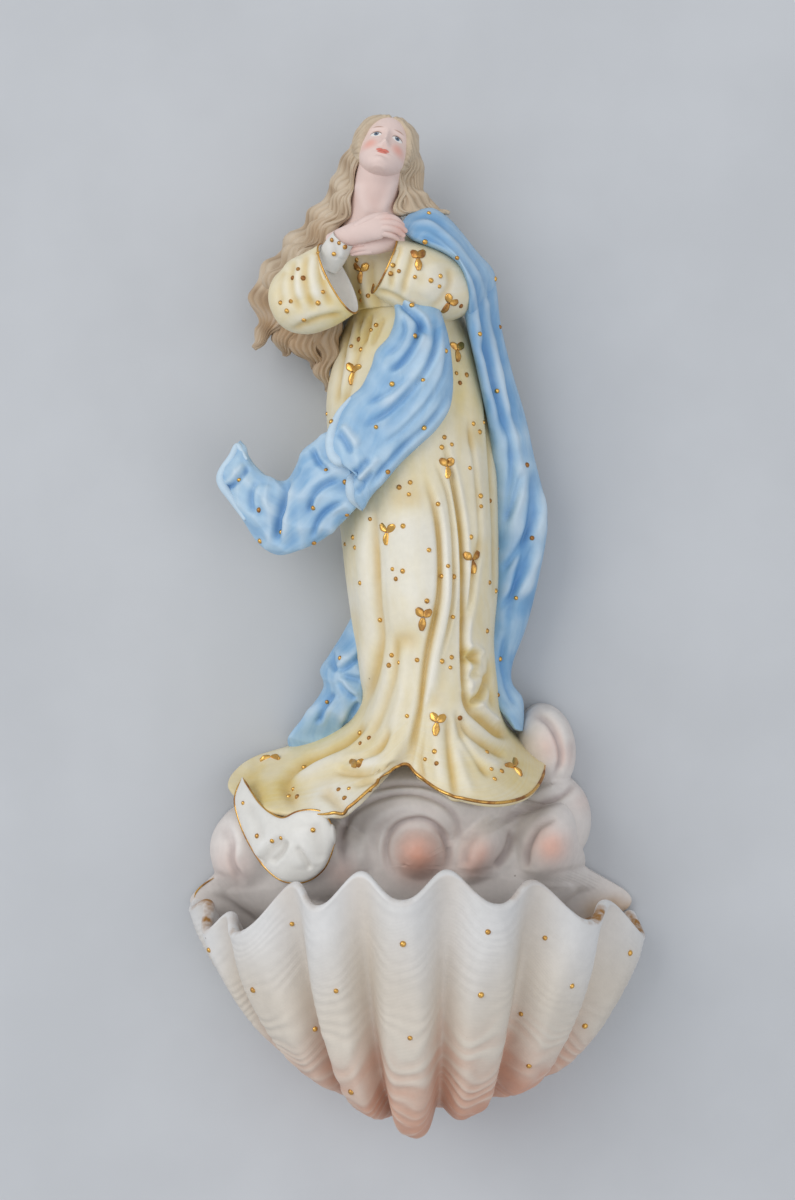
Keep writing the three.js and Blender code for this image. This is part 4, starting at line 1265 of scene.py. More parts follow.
@dataclass
class Mantle:
    """The blue mantle: over the shoulder, down the side, across the front, its flying end and its tail."""

    shoulder_rows: Rows = (
        (402, 223, 403, 231, 35, 40, 2),
        (410, 214, 413, 240, 31, 40, 5),
        (430, 209, 430, 247, 27, 39, 7),
        (447, 218, 447, 255, 24, 37, 8),
        (461, 233, 459, 266, 21, 36, 8),
        (477, 253, 466, 282, 19, 35, 8),
        (493, 271, 468, 298, 17, 33, 7.5),
        (496, 290, 468, 312, 15, 31, 6.5),
        (496, 310, 470, 326, 12, 27, 4),
        (494, 330, 474, 340, 9, 22, 1.5),
    )
    fall_rows: Rows = (
        (466, 280, 493, 270, 23, 16, 3),
        (464, 298, 497, 292, 27, 17, 6),
        (466, 322, 501, 326, 29, 17, 7),
        (475, 362, 512, 372, 29, 16, 7.5),
        (483, 400, 525, 416, 27, 14, 8),
        (489, 435, 534, 457, 23, 13, 8.5),
        (493, 480, 543, 494, 19, 12, 9),
        (493, 530, 547, 528, 17, 12, 9.5),
        (492, 580, 538, 580, 16, 12, 9.5),
        (487, 625, 526, 627, 15, 12, 8.5),
        (482, 655, 513, 662, 15, 12, 7.5),
        (483, 676, 512, 682, 15, 12, 7),
        (488, 694, 522, 697, 16, 12, 6.5),
        (500, 711, 524, 713, 18, 13, 6),
        (512, 727, 523, 729, 19, 15, 4),
    )
    swag_rows: Rows = (
        (392, 296, 441, 312, 36, 36, 5),
        (395, 316, 448, 335, 39, 38, 6.5),
        (389, 336, 452, 362, 41, 38, 8),
        (376, 351, 453, 388, 41, 39, 8),
        (371, 367, 449, 410, 42, 41, 8),
        (361, 387, 436, 430, 41, 43, 7.5),
        (347, 400, 418, 447, 39, 45, 7),
        (338, 415, 401, 463, 40, 46, 6),
        (331, 436, 390, 476, 42, 46, 5.5),
        (332, 452, 382, 485, 43, 46, 5),
        (338, 461, 376, 491, 43.5, 46, 4.5),
        (350, 464, 371, 497, 44, 46, 4),
        (355, 472, 368, 502, 44, 46, 3.5),
        (351, 484, 366, 506, 43.5, 45, 3),
        (352, 497, 364, 509, 43, 44, 2.4),
        (360, 506, 362, 510, 43, 43.5, 1.4),
    )
    # Rolled edges: drawn x and y, half width.
    swag_edge: Rows = (
        (350, 399, 0.6),
        (339, 415, 1.2),
        (331.5, 436, 1.6),
        (332, 452, 1.7),
        (338, 461, 1.6),
        (349, 464, 1.5),
        (354, 472, 1.5),
        (351, 484, 1.6),
        (352, 497, 1.4),
        (361, 508, 0.7),
    )
    flying_edge: Rows = (
        (246, 458, 0.5),
        (238, 446, 1.0),
        (232, 457, 1.2),
        (222, 473, 1.4),
        (222, 484, 1.4),
        (232, 499, 1.2),
        (244, 518, 0.6),
    )
    flying_rows: Rows = (
        (338, 424, 358, 506, 36, 42, 4),
        (320, 438, 342, 523, 33, 37, 5.5),
        (303, 450, 322, 540, 31, 33, 6),
        (296, 466, 300, 550, 29, 30, 6),
        (286, 480, 278, 555, 27, 27, 6),
        (270, 478, 259, 544, 25, 25, 5.5),
        (256, 466, 244, 522, 23, 23, 5),
        (249, 456, 231, 500, 22, 22, 4.5),
        (245, 448, 219, 483, 21, 21, 3.6),
        (241, 441, 231, 456, 20, 20, 1.6),
    )
    tail_rows: Rows = (
        (352, 616, 357, 620, 12, 16, 3),
        (341, 636, 361, 640, 11, 18, 5),
        (329, 655, 364, 660, 10, 19, 6.5),
        (320, 670, 365, 680, 10, 19, 7),
        (323, 688, 365, 698, 11, 19, 7),
        (304, 716, 365, 714, 8, 16, 6),
        (288, 738, 365, 731, 5, 10, 3.5),
        (292, 752, 365, 745, 4, 6, 2),
    )
    side_folds: tuple[Stroke, ...] = (
        Stroke(3.6, -1.0, ((405, 222), (428, 218), (448, 230), (468, 252), (486, 277), (493, 305), (501, 345), (512, 400), (521, 445), (526, 480))),
        Stroke(3.6, -1.1, ((405, 229), (428, 228), (448, 241), (466, 263), (478, 288), (482, 315), (490, 352), (500, 394), (510, 432), (512, 468), (507, 505), (503, 545))),
        Stroke(3, -0.8, ((410, 236), (430, 239), (448, 250), (462, 270), (470, 292), (473, 318))),
        Stroke(5, 0.8, ((405, 226), (428, 223), (448, 235), (467, 257), (482, 282))),
        Stroke(5, 0.7, ((510, 415), (518, 445), (521, 485), (514, 535))),
        Stroke(4.5, -1.4, ((482, 338), (490, 362), (499, 398), (507, 440)), 0.3),
        Stroke(4.5, 0.6, ((415, 214), (434, 212), (452, 226), (472, 250), (490, 272))),
        Stroke(5, 0.7, ((440, 246), (457, 258), (469, 278), (475, 302), (480, 345), (492, 400))),
        Stroke(4, -1.3, ((534, 462), (533, 505), (526, 545), (515, 590), (507, 628))),
        Stroke(3.4, -1.1, ((540, 500), (530, 530), (514, 556), (501, 572)), 0.3),
        Stroke(3.4, -1.1, ((537, 540), (525, 570), (512, 594), (501, 608)), 0.3),
        Stroke(3.2, -1.0, ((522, 470), (515, 500), (505, 522)), 0.3),
        Stroke(5, 0.9, ((541, 478), (542, 520), (535, 560), (523, 605))),
        Stroke(3.4, -1.0, ((507, 632), (503, 660), (508, 686), (516, 708))),
    )
    swag_folds: tuple[Stroke, ...] = (
        Stroke(3.2, -1.7, ((396, 300), (408, 310), (421, 322), (426, 336)), 0.3),
        Stroke(3.2, -1.4, ((421, 316), (417, 338), (404, 360), (388, 372)), 0.4),
        Stroke(3.0, -1.2, ((438, 318), (434, 352), (416, 384), (388, 412), (362, 426)), 0.3),
        Stroke(2.4, -0.8, ((447, 340), (444, 372), (428, 402), (402, 430), (378, 448))),
        Stroke(3.0, -1.0, ((450, 392), (432, 420), (404, 446), (382, 470), (368, 490)), 0.3),
        Stroke(2.4, -0.7, ((402, 316), (405, 330), (398, 346), (384, 356))),
        Stroke(2.4, -0.7, ((410, 374), (390, 392), (366, 404))),
        Stroke(7, 0.8, ((428, 330), (424, 360), (404, 388), (376, 412))),
        Stroke(6, 0.6, ((443, 345), (438, 382), (412, 414), (386, 440))),
        Stroke(4, -1.2, ((338, 430), (345, 440), (352, 454)), 0.3),
        Stroke(4, -1.1, ((352, 474), (360, 470), (370, 458)), 0.3),
        Stroke(3.4, -1.0, ((356, 494), (363, 484), (374, 470)), 0.3),
        Stroke(5, 0.9, ((341, 424), (350, 436), (360, 446))),
        Stroke(4, 0.8, ((358, 480), (368, 468), (380, 456))),
    )
    flying_folds: tuple[Stroke, ...] = (
        Stroke(4.5, -2.2, ((288, 480), (283, 500), (278, 520), (275, 545)), 0.3),
        Stroke(6, 1.0, ((297, 470), (293, 495), (288, 520), (284, 545))),
        Stroke(6, 0.8, ((268, 484), (264, 505), (264, 528))),
        Stroke(3, -1.2, ((312, 447), (318, 462), (331, 472)), 0.4),
        Stroke(3, -1.4, ((340, 478), (322, 486), (312, 498), (307, 514)), 0.4),
        Stroke(3, -1.2, ((348, 500), (330, 508), (318, 520), (311, 540)), 0.4),
        Stroke(3, -1.0, ((257, 480), (250, 496), (252, 514)), 0.4),
        Stroke(3, -1.3, ((222, 489), (232, 485), (243, 474), (248, 465)), 0.5),
    )
    tail_folds: tuple[Stroke, ...] = (
        Stroke(3, -1.0, ((337, 672), (331, 662), (332, 648)), 0.3),
        Stroke(3, -1.3, ((338, 672), (350, 664), (362, 654)), 0.4),
        Stroke(3, -0.8, ((340, 675), (352, 678), (363, 680)), 0.3),
        Stroke(3, -1.2, ((338, 680), (346, 692), (356, 700)), 0.4),
        Stroke(3.4, -1.3, ((333, 692), (323, 708), (316, 726)), 0.4),
        Stroke(3.4, -1.1, ((360, 702), (352, 714), (342, 730)), 0.4),
    )
    tint_patches: tuple[Patch, ...] = (
        Patch((425, 335), 20, 0.5),
        Patch((425, 370), 14, -0.4),
        Patch((385, 410), 30, 0.3),
        Patch((345, 655), 24, 0.6),
        Patch((330, 700), 24, 0.3),
        Patch((505, 560), 28, 0.6),
        # The next three patches are painted shade: darker blue where folds shade the fall.
        Patch((495, 350), 22, 0.9),
        Patch((498, 410), 22, 0.8),
        Patch((513, 602), 22, 0.9),
        Patch((508, 660), 26, 0.7),
        Patch((425, 225), 26, 0.5),
        Patch((475, 315), 26, 0.6),
        Patch((240, 480), 20, -0.5),
        Patch((300, 470), 20, 0.3),
    )

    @staticmethod
    def crumple(pixels: Array) -> Array:
        """Crumpled cloth: two sets of bent sharp ridges 1 - |sin| in drawn pixels."""
        x, y = pixels[..., 0], pixels[..., 1]
        first = 1 - np.abs(np.sin(0.085 * (0.9 * x + 0.45 * y) + 1.2 * np.sin(0.045 * (y - 0.6 * x)) + 0.7))
        second = 1 - np.abs(np.sin(0.12 * (0.86 * y - 0.5 * x) + 1.1 * np.sin(0.06 * x) + 2.1))
        return 0.6 * first + 0.4 * second - 0.36

    def cloth(self, rows: Rows, folds: tuple[Stroke, ...], rings: int, points: int, crumpled: float) -> Surface:
        """One length of the mantle with its folds.

        Args:
            rows: rows of the ribbon.
            folds: its folds.
            rings: number of sections.
            points: points on each section.
            crumpled: height of the crumples.
        Returns:
            The surface.
        """
        made = ribbon(rows, rings, points, 0.7)
        creases = crumpled * self.crumple(EYE.drawn(made.rings))
        return made.press(folds, (9, 10), 0.8, creases).stain(self.tint_patches, 0.4).flat_back()

    @staticmethod
    def roll(rows: Rows, carrier: Surface) -> list[Surface]:
        """A length of cloth and a rolled edge along a drawn line, seated on the cloth's front, made pale along its
        length by a painted highlight.

        Args:
            rows: drawn x and y, half width.
            carrier: the cloth.
        Returns:
            The cloth and the edge.
        """
        path = np.array(rows, float)
        front = carrier.normals()[..., 1] < -0.2
        drawn, depth = EYE.drawn(carrier.rings)[front], -carrier.rings[front][:, 1]
        near = np.argmin(((path[:, None, :2] - drawn) ** 2).sum(-1), axis=1)
        half = path[:, 2]
        made = drawn_limb(np.column_stack([path[:, :2], depth[near], half, half]), 120, 20)
        # The crest tint over the whole roll: a painted highlight.
        made.marks["crest"][:] = 0.8
        return [carrier, made]

    def build(self) -> list[bpy.types.Object]:
        """Builds and dresses the pieces.

        Returns:
            The pieces.
        """
        finish = MANTLE.material()
        lengths = {
            "mantle_swag": self.roll(self.swag_edge, self.cloth(self.swag_rows, self.swag_folds, 220, 170, 0.5)),
            "mantle_flying_end": self.roll(
                self.flying_edge, self.cloth(self.flying_rows, self.flying_folds, 190, 160, 1.6)
            ),
            "mantle_shoulder": [self.cloth(self.shoulder_rows, self.side_folds, 150, 130, 0.3)],
            "mantle_fall": [self.cloth(self.fall_rows, self.side_folds, 300, 140, 0.6)],
            "mantle_tail": [self.cloth(self.tail_rows, self.tail_folds, 130, 130, 1.5)],
        }
        return [make_piece(f"{name}_visual", made, finish, (name,)) for name, made in lengths.items()]


# ---------------------------------------------------------------- shell and cloud


@dataclass
class Shell:
    """The scallop shell bowl."""

    half_width: float = 69.3
    projection: float = 74.0
    middle_x: float = 2.0
    base_z: float = -253.5
    base_rise: float = 22.0
    base_round: float = 1.3
    umbo_depth: float = 10.0
    rim_end_z: float = -193.0
    rim_arch: float = 14.0
    rim_tilt: float = 3.5
    right_drop: float = 9.0
    left_dip: float = 7.5
    wall: float = 4.0
    back_wall: float = 5.0
    lip_rise: float = 0.8
    ribs: int = 18
    rib_height: float = 4.7
    small_ribs: float = 0.5
    rib_lean: float = math.radians(45)
    rim_lean: float = math.radians(62)
    rib_turn: float = math.radians(-2.7)
    rib_spread: float = math.radians(14)
    end_spread: float = math.radians(8)
    base_spread: float = math.radians(50)
    # Turns of the ribs on the left: middle, half breadth and turn in degrees.
    left_turns: Rows = ((-15, 14, 1.8), (-54, 12, 5.5))
    rib_breadth: float = 2.25
    section: Rows = ((0.04, 1), (0.3, 0.99), (0.48, 0.98), (0.62, 0.9), (0.76, 0.69), (0.87, 0.43), (0.95, 0.19), (1, 0))
    groove_narrowing: float = 4.0
    growth_pitch: float = 7.5
    growth_length: float = 60.0
    growth_height: float = 0.6
    tint_patches: tuple[Patch, ...] = (
        Patch((592, 920), 13, 1.2),
        Patch((606, 912), 7, 0.9),
        Patch((637, 923), 8, 1.2),
        Patch((207, 921), 5, 0.8),
        Patch((236, 931), 6, 0.8),
    )

    def bearings(self) -> Array:
        """Bearings round the shell from the back, close together over the front half."""
        front = np.linspace(-100, 100, 310)
        back = np.linspace(100, 260, 30)[1:-1]
        return np.radians(np.concatenate([front, back]))

    def rings(self, places: Array, inset: float, bearing: Array) -> Array:
        """Rings of the shell: a spread and a fall from the rim, with ribs that lean out and down.

        Args:
            places: share of the spread and of the fall for each ring.
            inset: how far inside the outer skin.
            bearing: bearings of the points.
        Returns:
            The grid.
        """
        share, fall = places[:, 0, None], places[:, 1, None]
        front = np.maximum(0, np.cos(bearing))
        aside = np.where(front > 0, np.abs(np.sin(bearing)) ** self.base_round, 1.0)
        rim = self.rim_end_z + self.rim_arch * front**2 - self.rim_tilt * np.sin(bearing) ** 3
        rim = rim - self.left_dip * np.exp(-(((np.degrees(bearing) + 56) / 17) ** 2))
        spread_in = np.minimum(1, 2 * share)
        rise = self.base_rise - self.right_drop * np.maximum(0, np.sin(bearing))
        base = self.base_z + rise * aside * spread_in
        power = self.rib_breadth + self.groove_narrowing * step_up(fall, 0.04, 0.5)
        wave = 1 - 2 * np.abs(np.sin(self.turn(share, bearing))) ** power
        rib = self.rib_height * spread_in * wave * step_up(np.cos(bearing), -0.02, 0.1)
        rib = rib * (1 - self.small_ribs * np.exp(-(((np.degrees(bearing) + 76) / 17) ** 2)))
        lean = self.rim_lean + (self.rib_lean - self.rim_lean) * step_up(fall, 0.0, 0.2)
        out = rib * np.cos(lean)
        x = self.middle_x + ((self.half_width - inset) * share + out) * np.sin(bearing)
        depth = self.umbo_depth * (1 - share) + ((self.projection - inset) * share + out) * np.cos(bearing)
        z = rim - (rim - base - inset) * fall - rib * np.sin(lean)
        return np.stack([x, -depth, z], -1)

    def turn(self, share: Array, bearing: Array) -> Array:
        """Phase of the ribs: half their count times the bearing, fanned out by bells and by powers of its sine."""
        side = np.maximum(0, np.sin(bearing))
        right = self.rib_spread * side**2 + self.end_spread * side**8
        degrees = np.degrees(bearing)
        left = sum(math.radians(far) * np.exp(-(((degrees - mid) / half) ** 2)) for mid, half, far in self.left_turns)
        low = self.base_spread * (1 - share) ** 2 * side**0.7
        return self.ribs / 2 * (bearing - share * (right - left) - low - self.rib_turn)

    def growth(self, up: Array, bearing: Array) -> Array:
        """Growth bands: soft ripples (1 + cos) / 2 of an uneven count of bands up the section.

        Args:
            up: share and fall of each ring.
            bearing: bearings of the points.
        Returns:
            Heights from 0 to 1.
        """
        step = np.diff(up, axis=0) * (self.half_width, self.rim_end_z - self.base_z)
        far = np.concatenate([[0.0], np.cumsum(np.hypot(*step.T))])[:, None]
        turn = self.turn(up[:, :1], bearing)
        groove = np.abs(np.sin(turn)) ** 2
        own = 0.9 * np.sin(3.7 * np.round(turn / math.pi))
        count = self.growth_length / self.growth_pitch * (far / self.growth_length) ** 1.6 + 0.6 * np.sin(far / 6.5 + 2 * own) + 0.2 * np.sin(far / 2.3 + 5 * own)
        count = count + own - 0.45 * groove + 0.3 * np.sin(7 * bearing + far / 9) + 0.25 * np.sin(23 * bearing - far / 4)
        return 0.5 + 0.5 * np.cos(2 * math.pi * count)

    def surface(self) -> Surface:
        """Outer skin with growth bands, a rounded rim, and the inner skin down to the base."""
        bearing = self.bearings()
        up = smooth_rows(self.section, 330)
        up = np.vstack([up[:140:4], up[140:]])
        outer = Surface(self.rings(up, 0.0, bearing))
        level = 1 - up[:, 1:] + 0 * bearing
        arch = self.growth(up, bearing)
        front = step_up(np.cos(bearing), -0.05, 0.15)
        groove = front * np.abs(np.sin(self.turn(up[:, :1], bearing))) ** 6
        uneven = 0.6 + 0.4 * np.sin(11 * bearing + 9 * level) * np.sin(5 * bearing - 17 * level)
        strength = self.growth_height * (0.3 + 0.7 * step_up(1 - level, 0.25, 0.85)) * (1 - 0.8 * groove) * uneven
        visible = front * step_up(up[:, :1], 0.3, 0.5)
        outer.emboss(strength * (arch - 0.5) * visible, (5, 3), 0.9)
        down = up[35:][::-1][::5]
        down = np.vstack([down, up[:35][::-1][::3]])
        inner = self.rings(down, self.wall, bearing)
        inner[..., 1] = np.minimum(inner[..., 1], -self.back_wall)
        outer.flat_back()
        t = np.linspace(0, math.pi, 9)[1:-1, None, None]
        swell = np.array((0.0, 0.0, self.lip_rise + 1.0))
        lip = (outer.rings[-1] + inner[0]) / 2 + (outer.rings[-1] - inner[0]) / 2 * np.cos(t) + swell * np.sin(t)
        whole = Surface(np.concatenate([outer.rings, lip, inner]))
        count = len(outer.rings)
        low = step_up(1 - level, 0.35, 0.98)
        # Darker tint in the rib grooves, stronger towards the base: painted shade.
        whole.marks["hollow"][:count] = np.clip(0.5 * outer.marks["hollow"] + groove * (0.25 + 0.6 * low), 0, 1)
        # White over the lip, the inner skin and the upper shell is the shell's colour; less of it in the rib grooves is
        # painted shade.
        whole.marks["crest"][:] = 1.0
        whole.marks["crest"][:count] = step_up(level + 0.1 * np.sin(9 * bearing), 0.5, 1.0) * (1 - 0.4 * groove)
        middle = np.exp(-(((outer.rings[..., 0] - 18) / 46) ** 2))
        salmon = (step_up(1 - level, 0.6, 0.98) * 0.95 + 0.4 * groove * low) * (0.35 + 0.65 * middle)
        whole.marks["wash"][:count] = front * np.clip(salmon, 0, 1)
        within = np.linspace(0, 1, len(inner))[:, None]
        # The inner skin darkens deeper into the bowl: painted shade.
        whole.marks["hollow"][-len(inner) :] = 0.25 + 0.5 * within
        growth = np.zeros((*whole.rings.shape[:2], 3))
        growth[:count, :, 0] = np.clip(level + 0.3 * (1 - middle), 0, 1)
        growth[count:, :, 0] = 1.0
        growth[:count, :, 2] = 0.5 + front * (arch - 0.5)
        edge = np.exp(-(((np.arange(len(whole.rings)) - count - 3) / 3.2) ** 2))[:, None]
        ends = 0.35 + 0.85 * step_up(np.abs(np.sin(bearing)), 0.82, 0.99)
        growth[..., 1] = edge * ends
        inner_rows = np.arange(len(inner))[:, None]
        growth[-len(inner) :, :, 1] += 0.8 * np.exp(-((inner_rows / 9.0) ** 2)) * step_up(np.sin(bearing), 0.86, 0.98)
        rust = sum(patch.tint(EYE.drawn(whole.rings)) for patch in self.tint_patches)
        growth[count:, :, 1] += rust[count:]
        whole.marks["growth"] = growth
        return whole

    def build(self) -> list[bpy.types.Object]:
        """Builds and dresses the bowl.

        Returns:
            The piece in a list.
        """
        return [make_piece("shell_bowl_visual", [self.surface()], SHELL.material(), ("shell_bowl",))]


@dataclass
class Cloud:
    """The bank of cloud behind the bowl and the column beside the train, flat at the back."""

    # Puffs: x, depth, z, half width, half depth, half height, lean of the top to the right in degrees.
    bank: Rows = (
        (-3, 8, -178, 57, 28, 26, 0),
        (0.5, 2, -189.5, 69.5, 8, 13, 0),
        (2, 16, -158, 32, 24, 15, 0),
        (-1.5, 24, -172, 17, 14, 16.5, 0),
        (2.3, 34, -171.5, 8.3, 9.5, 8.5, 0),
        (20.5, 32, -171.5, 6.5, 9, 11, 28),
        (41, 26, -170, 9, 12, 13.5, 15),
        (-24, 28, -175, 15, 13, 12, 0),
        (-48, 15, -172.5, 13, 15, 13.5, 0),
    )
    bank_middle: Row = (-1.0, -175.0)
    column: Rows = ((42, 10, -142, 9, 13, 13.5, -8), (43.5, 10, -164, 12.3, 16, 14.5, 0))
    column_middle: Row = (43.0, -153.0)
    soft: float = 1.3
    folds: tuple[Stroke, ...] = (
        Stroke(3.4, -1.3, ((394, 878), (386, 856), (388, 836), (402, 823), (424, 820), (442, 832), (449, 852), (443, 876)), 0.2),
        Stroke(4, -1.2, ((350, 876), (342, 850), (346, 822), (364, 805), (392, 794), (420, 794), (446, 806), (459, 828), (456, 856))),
        Stroke(7, 0.8, ((364, 872), (362, 846), (374, 822), (400, 809), (432, 809))),
        Stroke(5, -0.6, ((463, 866), (466, 846), (474, 828)), 0.2),
        Stroke(3.6, -1.2, ((513, 828), (508, 850), (494, 869)), 0.2),
        Stroke(3.6, -1.2, ((526, 870), (527, 848), (538, 826), (558, 816)), 0.2),
        Stroke(3.6, -1.2, ((500, 824), (518, 814), (538, 805), (562, 795), (580, 778)), -0.2),
        Stroke(6, 0.8, ((510, 803), (535, 795), (560, 785))),
        Stroke(3.6, -1.1, ((531, 712), (548, 722), (559, 742), (561, 762), (552, 779)), 0.2),
        Stroke(6, 0.6, ((545, 709), (561, 723), (569, 745))),
        Stroke(3.6, -1.0, ((222, 822), (232, 842), (232, 864), (246, 884)), 0.2),
        Stroke(6, 0.5, ((228, 812), (240, 836), (240, 862))),
        Stroke(3.4, -0.9, ((366, 792), (396, 784), (430, 786), (462, 800), (490, 808))),
    )
    rust: tuple[Patch, ...] = (
        Patch((598, 915), 15, 0.8),
        Patch((614, 905), 10, 0.5),
        Patch((580, 922), 12, 0.4),
        Patch((630, 910), 8, 0.5),
    )
    bosses: tuple[Patch, ...] = (
        Patch((418, 856), 24, 1.0),
        Patch((480, 852), 15, 0.6),
        Patch((472, 868), 12, 0.4),
        Patch((550, 846), 17, 0.75),
        Patch((233, 864), 18, 0.35),
        Patch((552, 744), 16, 0.4),
        Patch((562, 758), 10, 0.25),
        Patch((342, 872), 16, 0.3),
        Patch((584, 800), 12, 0.2),
    )

    def relief(self, puffs: Rows, middle: Row, back: float, rays: int) -> Surface:
        """A relief over the wall: the smooth greatest of the puffs' fronts, on rays from a middle to the outline.

        Args:
            puffs: rows of puffs.
            middle: x and z from which the whole outline is seen.
            back: depth of its flat back, off the backs that it meets.
            rays: number of rays, and of rings after it.
        Returns:
            The surface.
        """
        table = np.asarray(puffs, float)
        x, depth, z, wide, deep, high = (table[:, k] for k in range(6))
        cos, sin = np.cos(np.radians(table[:, 6])), np.sin(np.radians(table[:, 6]))

        def local(across: Array, up: Array) -> tuple[Array, Array]:
            """Shares of each puff's half sizes along its own leaning axes."""
            return (across * cos - up * sin) / wide, (across * sin + up * cos) / high

        angle = np.linspace(0, 2 * math.pi, rays, endpoint=False)
        from_u, from_w = local(middle[0] - x, middle[1] - z)
        to_u, to_w = local(np.cos(angle)[:, None], np.sin(angle)[:, None])
        square, cross = to_u**2 + to_w**2, from_u * to_u + from_w * to_w
        within = cross**2 - square * (from_u**2 + from_w**2 - 1)
        far = np.where(within > 0, (-cross + np.sqrt(np.maximum(within, 0))) / square, 0.0).max(1)
        far = blur(far[None, :], 0, 3)[0]
        share = np.linspace(0.004, 1, int(0.4 * rays))[:, None] ** 0.85
        across, up = middle[0] + share * far * np.cos(angle), middle[1] + share * far * np.sin(angle)
        u, w = local(across[..., None] - x, up[..., None] - z)
        inside = 1 - u**2 - w**2
        blunt = np.where(deep < 13, 0.8, 0.5)
        fronts = np.where(inside > 0, depth + deep * np.maximum(inside, 0) ** blunt, depth + 9 * inside)
        top = fronts.max(-1)
        front = top + self.soft * np.log(np.exp((fronts - top[..., None]) / self.soft).sum(-1))
        front = blur(np.maximum(front, 1.0), 2, 2)
        made = Surface(np.stack([across, -front, up], -1)).press(self.folds, (8, 12), 0.6)
        edge = made.rings[-1]
        side = np.stack([edge] * 9)
        side[..., 1] *= np.linspace(1, 0, 10)[1:, None]
        inner = (edge + edge.mean(0))[None] / 2
        inner[..., 1] = 0.0
        whole = Surface(np.concatenate([made.rings, side, inner]))
        for name in ("hollow", "crest"):
            whole.marks[name][: len(made.rings)] = made.marks[name]
        drawn = EYE.drawn(whole.rings)
        whole.marks["rust"] = np.clip(sum(patch.tint(drawn) for patch in self.rust), 0, 1)
        return whole.stain(self.bosses).flat_back(back)

    def build(self) -> list[bpy.types.Object]:
        """Builds and dresses the cloud.

        Returns:
            The piece in a list.
        """
        parts = [self.relief(self.bank, self.bank_middle, 0.3, 410), self.relief(self.column, self.column_middle, 0.6, 230)]
        return [make_piece("cloud_bank_visual", parts, CLOUD.material(), ("cloud_bank",))]


# ---------------------------------------------------------------- head, hands and hair


